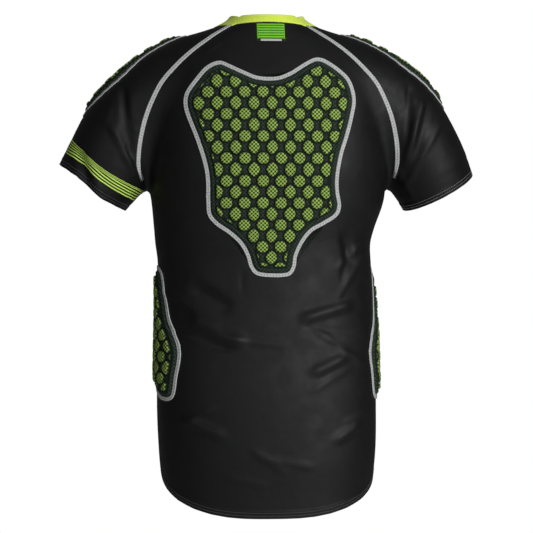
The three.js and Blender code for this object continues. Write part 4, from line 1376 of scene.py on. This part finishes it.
def add_raglan_tape(name, side, key, material):
    seam = seams[side, key]
    line = finer_rows(seam.points[:, None, :], TAPE_STEP)[:, 0]
    clear = length_of(line - seam.points[0]) > ARMPIT_GAP
    line = settled(line[clear])
    line[-1] += unit(line[-2] - line[-1]) * SEAM_GAP / 2
    normal = unit(slope_of_form(line))
    ahead = unit(np.gradient(line, axis=0))
    taper = mix(TAPERED_WIDTH, 1, smooth_step(path_distance(line, False) / TAPER_LENGTH))
    across = np.cross(normal, ahead) * TAPE_HALF_WIDTH * taper[:, None]
    rings = [cloth(settled(line + across * share, 3)) for share in TAPE_SHARES]
    tape = add_tube(name, tape_sections(rings, RAGLAN_TAPE_LIFT), False, material)
    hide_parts(name)
    finished(tape)
    middle, out = rings[len(rings) // 2]
    return stitch_rows(middle, out, RAGLAN_TAPE_LIFT, False)


def add_flat_seam(name, line, material):
    """A narrow strip of black thread over a seam that has no tape."""
    normal = unit(slope_of_form(line))
    ahead = unit(np.gradient(line, axis=0))
    across = np.cross(normal, ahead)
    shares = (-1.0, -0.6, -0.2, 0.2, 0.6, 1.0)
    heights = (0.05, 0.5, 0.42, 0.42, 0.5, 0.05)
    rings = [cloth(settled(line + across * share * FLAT_SEAM_HALF_WIDTH, 3)) for share in shares]
    upper = [p + n * h for (p, n), h in zip(rings, heights)]
    lower = [rings[k][0] - rings[k][1] * 0.15 for k in (-1, 0)]
    strip = add_tube(name, np.stack(upper + lower, axis=1), False, material)
    finished(strip)


# Pieces


def add_panel(name, panel, material):
    outer, inner = panel.walls()
    rows, count = outer.shape[:2]
    points = np.concatenate([outer.reshape(-1, 3), inner.reshape(-1, 3)])
    faces = facing_out(points, wall_faces(rows, count).tolist())
    across = path_distance(panel.outer[rows // 2], False)
    uv = np.stack([np.broadcast_to(across, (rows, count)), panel.height], axis=-1).reshape(-1, 2)
    uv = np.concatenate([uv, uv]) * METRES
    above = np.concatenate([panel.height.ravel(), np.full(panel.height.size, NO_BAND)])
    piece = add_object(name, points, faces, material, uv=uv, values={"above_edge": above}, crease=60)
    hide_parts(name)
    finished(piece)
    return piece


def add_collar(panels, material):
    """The neckband: a folded rib standing on the neckline."""
    parts = [
        panels["back"].on_form[-1][:-1],
        panels["sleeve_right"].on_form[-1][:-1],
        panels["front"].on_form[-1][::-1][:-1],
        panels["sleeve_left"].on_form[-1][::-1][:-1],
    ]
    ring = np.concatenate(parts)
    angle = np.arctan2(ring[:, 1], ring[:, 0])
    rise = COLLAR_RISE + COLLAR_SIDE_RISE * np.cos(angle) ** 2 - COLLAR_WALL / 2
    foot_z = ring[:, 2] + COLLAR_GAP
    lines = []
    for share in np.linspace(0, 1, 8):
        on_form = torso_at(angle, foot_z + share * rise)
        if share == 0:
            on_form = ring + unit(torso_at(angle, foot_z + rise) - ring) * COLLAR_GAP
        lines.append((share, on_form, unit(slope_of_form(on_form))))
    section = []
    for share, p, n in lines:
        bulge = 0.35 * math.sin(math.pi * min(1, share * 1.15))
        section.append(p + n * (COLLAR_LIFT + bulge))
    top, out = lines[-1][1], lines[-1][2]
    up = unit(top - lines[-2][1])
    half_wall = COLLAR_WALL / 2
    for turn in (0.25, 0.5, 0.75):
        lean = math.cos(math.pi * turn) * half_wall
        rounding = up * math.sin(math.pi * turn) * half_wall
        section.append(top + out * (COLLAR_LIFT - half_wall + lean) + rounding)
    for share, p, n in lines[::-1]:
        section.append(p + n * (COLLAR_LIFT - COLLAR_WALL))
    collar = add_tube("collar", np.stack(section, axis=1), True, material)
    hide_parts("collar")
    finished(collar)


def patch_on_back(name, box, lifts, material, wave=0.0):
    """A thin rectangular patch on the back: box is left, right, top and bottom in millimetres."""
    left, right, top, bottom = box
    low, high = lifts
    across = np.linspace(left, right, 25)
    down = np.linspace(top, bottom, 17)
    grid_x, grid_z = np.meshgrid(across, down)
    outer, normal = cloth(facing(grid_x.ravel(), grid_z.ravel(), 1))
    ripple = wave * np.sin(grid_x.ravel() * 0.35 + grid_z.ravel() * 0.2)
    edge = np.minimum(
        np.minimum(grid_x - left, right - grid_x), np.minimum(top - grid_z, grid_z - bottom)
    ).ravel()
    drop = (high - low) * 0.55 * np.exp(-np.maximum(edge, 0) / 0.5)
    upper = outer + normal * (high + ripple - drop)[:, None]
    lower = outer + normal * (low + ripple)[:, None]
    points = np.concatenate([upper, lower])
    faces = facing_out(points, wall_faces(len(down), len(across)).tolist())
    patch = add_object(name, points, faces, material, crease=60)
    return finished(patch)


def add_label(black, green, dark_green, pale):
    left, right = LABEL_MIDDLE_X - LABEL_HALF_WIDTH, LABEL_MIDDLE_X + LABEL_HALF_WIDTH
    top, bottom = LABEL_TOP_Z, LABEL_TOP_Z - LABEL_HEIGHT
    base = patch_on_back("neck_label", (left, right, top, bottom), (0.35, 1.15), black)
    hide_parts("neck_label")
    field = (left + 2.3, right - 2.3, top - 2.2, bottom + 3.6)
    patch_on_back("patch_green", field, (1.1, 1.75), green)
    pitch = (field[2] - field[3]) / LABEL_STRIPES
    for k in range(LABEL_STRIPES):
        high = field[2] - (k + 0.62) * pitch
        box = (field[0] + 0.9, field[1] - 0.9, high, high - pitch * 0.36)
        patch_on_back(f"patch_stripe_{k + 1}", box, (1.7, 2.0), dark_green, 0.05)
    strip = (left + 7, right - 7, bottom + 3.3, bottom + 0.4)
    patch_on_back("patch_strip", strip, (1.1, 1.6), pale)


def add_edge_stitches(panels, threads):
    """The double rows above the hem and the cuffs."""
    groups = {
        "hem_stitches": (panels["back"], panels["front"]),
        "cuff_stitches_left": (panels["sleeve_left"],),
        "cuff_stitches_right": (panels["sleeve_right"],),
    }
    for name, owners in groups.items():
        places = []
        for height in STITCH_ROW_HEIGHTS:
            for owner in owners:
                points, normals = owner.line_at(height)
                points = points + normals * (FOLDED_RISE * 0.5 + 0.1)
                places.append(stitches_along(points, normals, EDGE_STITCH_PITCH, closed=False))
        finished(add_stitches(name, places, EDGE_STITCH, threads[name]))


def back_chart(a, b):
    return facing(a, b, 1)


def side_chart(side):
    def chart(a, b):
        angle = a / SIDE_PAD_RADIUS + side * SIDE_PAD_TURN[side]
        return torso_at(angle if side > 0 else math.pi - angle, b)

    return chart


def shoulder_chart(side):
    def chart(a, b):
        distance = SHOULDER_PAD_START + a / SHOULDER_PAD_STRETCH
        return sleeve_at(side, distance, b / SHOULDER_PAD_RADIUS, np.zeros(len(np.atleast_1d(a))))

    return chart


SIDES = {"left": 1, "right": -1}
SEAM_END_GAP = 5


def build_shirt():
    black = black_fabric()
    lime = lime_fabric()
    grey = tape_fabric()
    foam = foam_under_mesh()
    pale_thread = plain_thread("pale_thread", (0.42, 0.43, 0.42))
    dark_thread = plain_thread("dark_thread", (0.045, 0.047, 0.045))
    grey_thread = plain_thread("grey_thread", (0.17, 0.172, 0.17))
    green = patch_fabric("patch_green", (0.16, 0.6, 0.02), (0.24, 0.72, 0.04))
    dark_green = patch_fabric("patch_dark_green", (0.02, 0.1, 0.01), (0.04, 0.16, 0.02))
    pale = patch_fabric("patch_pale", (0.5, 0.48, 0.5), (0.62, 0.6, 0.62))
    patch_black = patch_fabric("patch_black", (0.006, 0.006, 0.006), (0.012, 0.012, 0.012), 0.6)

    panels = {
        "back": Panel(torso_blocks("back"), CLOTH_STEP),
        "front": Panel(torso_blocks("front"), CLOTH_STEP),
        "sleeve_left": Panel(sleeve_blocks(1), CLOTH_STEP),
        "sleeve_right": Panel(sleeve_blocks(-1), CLOTH_STEP),
    }
    add_panel("back", panels["back"], black)
    add_panel("front", panels["front"], black)
    add_panel("sleeve_left", panels["sleeve_left"], banded_fabric())
    add_panel("sleeve_right", panels["sleeve_right"], black)
    add_collar(panels, lime)
    add_label(patch_black, green, dark_green, pale)

    pads = [("back_pad", BACK_PAD_ROWS, back_chart, BACK_PAD_PHASE)]
    for name, side in SIDES.items():
        start, stop = SHOULDER_PAD_ENDS[side]
        shoulder_rows = [(mix(start, stop, share), b) for share, b in SHOULDER_PAD_ROWS]
        pads.append((f"side_pad_{name}", SIDE_PAD_ROWS, side_chart(side), BENT_PAD_PHASE))
        pads.append((f"shoulder_pad_{name}", shoulder_rows, shoulder_chart(side), BENT_PAD_PHASE))
    zigzags, edges = [], []
    for name, rows, chart, phase in pads:
        add_pad(name, rows, chart, phase, foam)
        tape_name = name.replace("pad", "pad_tape")
        zigzag, beside = add_pad_tape(tape_name, rows, chart, grey)
        zigzags.append(zigzag)
        edges += beside
    for name, side in SIDES.items():
        for key in ("back", "front"):
            zigzag, beside = add_raglan_tape(f"raglan_tape_{key}_{name}", side, key, grey)
            zigzags.append(zigzag)
            edges += beside
    finished(add_stitches("tape_stitches_middle", zigzags, ZIGZAG_STITCH, dark_thread))
    finished(add_stitches("tape_stitches_edges", edges, TAPE_EDGE_STITCH, pale_thread))

    for name, side in SIDES.items():
        column = 0 if side > 0 else -1
        rows_below = panels["back"].on_form[:, column]
        below = rows_below[rows_below[:, 2] < armpits[side][2] - SEAM_END_GAP]
        add_flat_seam(f"side_seam_{name}", below, black)
        sleeve = panels[f"sleeve_{name}"]
        underarm = sleeve.on_form[: sleeve.rows_below, 0]
        underarm = underarm[length_of(underarm - armpits[side]) > SEAM_END_GAP]
        add_flat_seam(f"underarm_seam_{name}", underarm, black)
    threads = {
        "hem_stitches": grey_thread,
        "cuff_stitches_left": grey_thread,
        "cuff_stitches_right": pale_thread,
    }
    add_edge_stitches(panels, threads)


# Stage

FLOOR_Z = -1.25
FLOOR_RADIUS = 2.6
AMBIENT = 0.09
# Each softbox: its place, its width and its power
SOFTBOXES = {
    "main_light": ((-1.6, 2.5, 0.3), 1.8, 66),
    "fill_light": ((1.4, 2.8, 0.3), 1.2, 10),
    "top_light": ((-0.3, 0.7, 2.2), 1.4, 5),
    "low_light": ((-0.7, 2.3, -2.0), 1.4, 11),
}


def add_camera():
    data = bpy.data.cameras.new("camera")
    data.sensor_width = SENSOR_WIDTH
    data.lens = FOCAL_PIXELS / IMAGE_SIDE * SENSOR_WIDTH
    camera = bpy.data.objects.new("camera", data)
    camera.location = (
        CAMERA_DISTANCE * math.sin(CAMERA_TURN),
        CAMERA_DISTANCE * math.cos(CAMERA_TURN),
        CAMERA_HEIGHT,
    )
    ahead = Vector((0, 0, CAMERA_HEIGHT)) - camera.location
    camera.rotation_euler = ahead.to_track_quat("-Z", "Y").to_euler()
    bpy.context.scene.collection.objects.link(camera)
    bpy.context.scene.camera = camera


def add_area_light(name, place, size, power):
    data = bpy.data.lights.new(name, "AREA")
    data.shape = "DISK"
    data.size = size
    data.energy = power
    light = bpy.data.objects.new(name, data)
    light.location = place
    ahead = Vector((0, 0, CAMERA_HEIGHT)) - light.location
    light.rotation_euler = ahead.to_track_quat("-Z", "Y").to_euler()
    bpy.context.scene.collection.objects.link(light)


def add_floor():
    count = 96
    turns = np.arange(count) / count * 2 * math.pi
    ring = np.stack([np.cos(turns), np.sin(turns)], axis=1) * FLOOR_RADIUS / METRES
    points = np.concatenate([ring, np.full((count, 1), FLOOR_Z / METRES)], axis=1)
    floor = add_object("floor", points, [tuple(range(count))], new_material("floor", (0.8, 0.8, 0.8), 0.9))


def add_world():
    world = bpy.data.worlds.new("studio")
    bpy.context.scene.world = world
    world.use_nodes = True
    nodes, links = world.node_tree.nodes, world.node_tree.links
    ambient = nodes["Background"]
    ambient.inputs["Color"].default_value = (1, 1, 1, 1)
    ambient.inputs["Strength"].default_value = AMBIENT
    backdrop = nodes.new("ShaderNodeBackground")
    backdrop.inputs["Color"].default_value = (1, 1, 1, 1)
    chosen = nodes.new("ShaderNodeMixShader")
    seen = nodes.new("ShaderNodeLightPath")
    links.new(seen.outputs["Is Camera Ray"], chosen.inputs[0])
    links.new(ambient.outputs[0], chosen.inputs[1])
    links.new(backdrop.outputs[0], chosen.inputs[2])
    links.new(chosen.outputs[0], nodes["World Output"].inputs["Surface"])


add_camera()
build_shirt()
add_floor()
add_world()
for softbox, (place, width, power) in SOFTBOXES.items():
    add_area_light(softbox, place, width, power)
bpy.context.scene.view_settings.view_transform = "Standard"
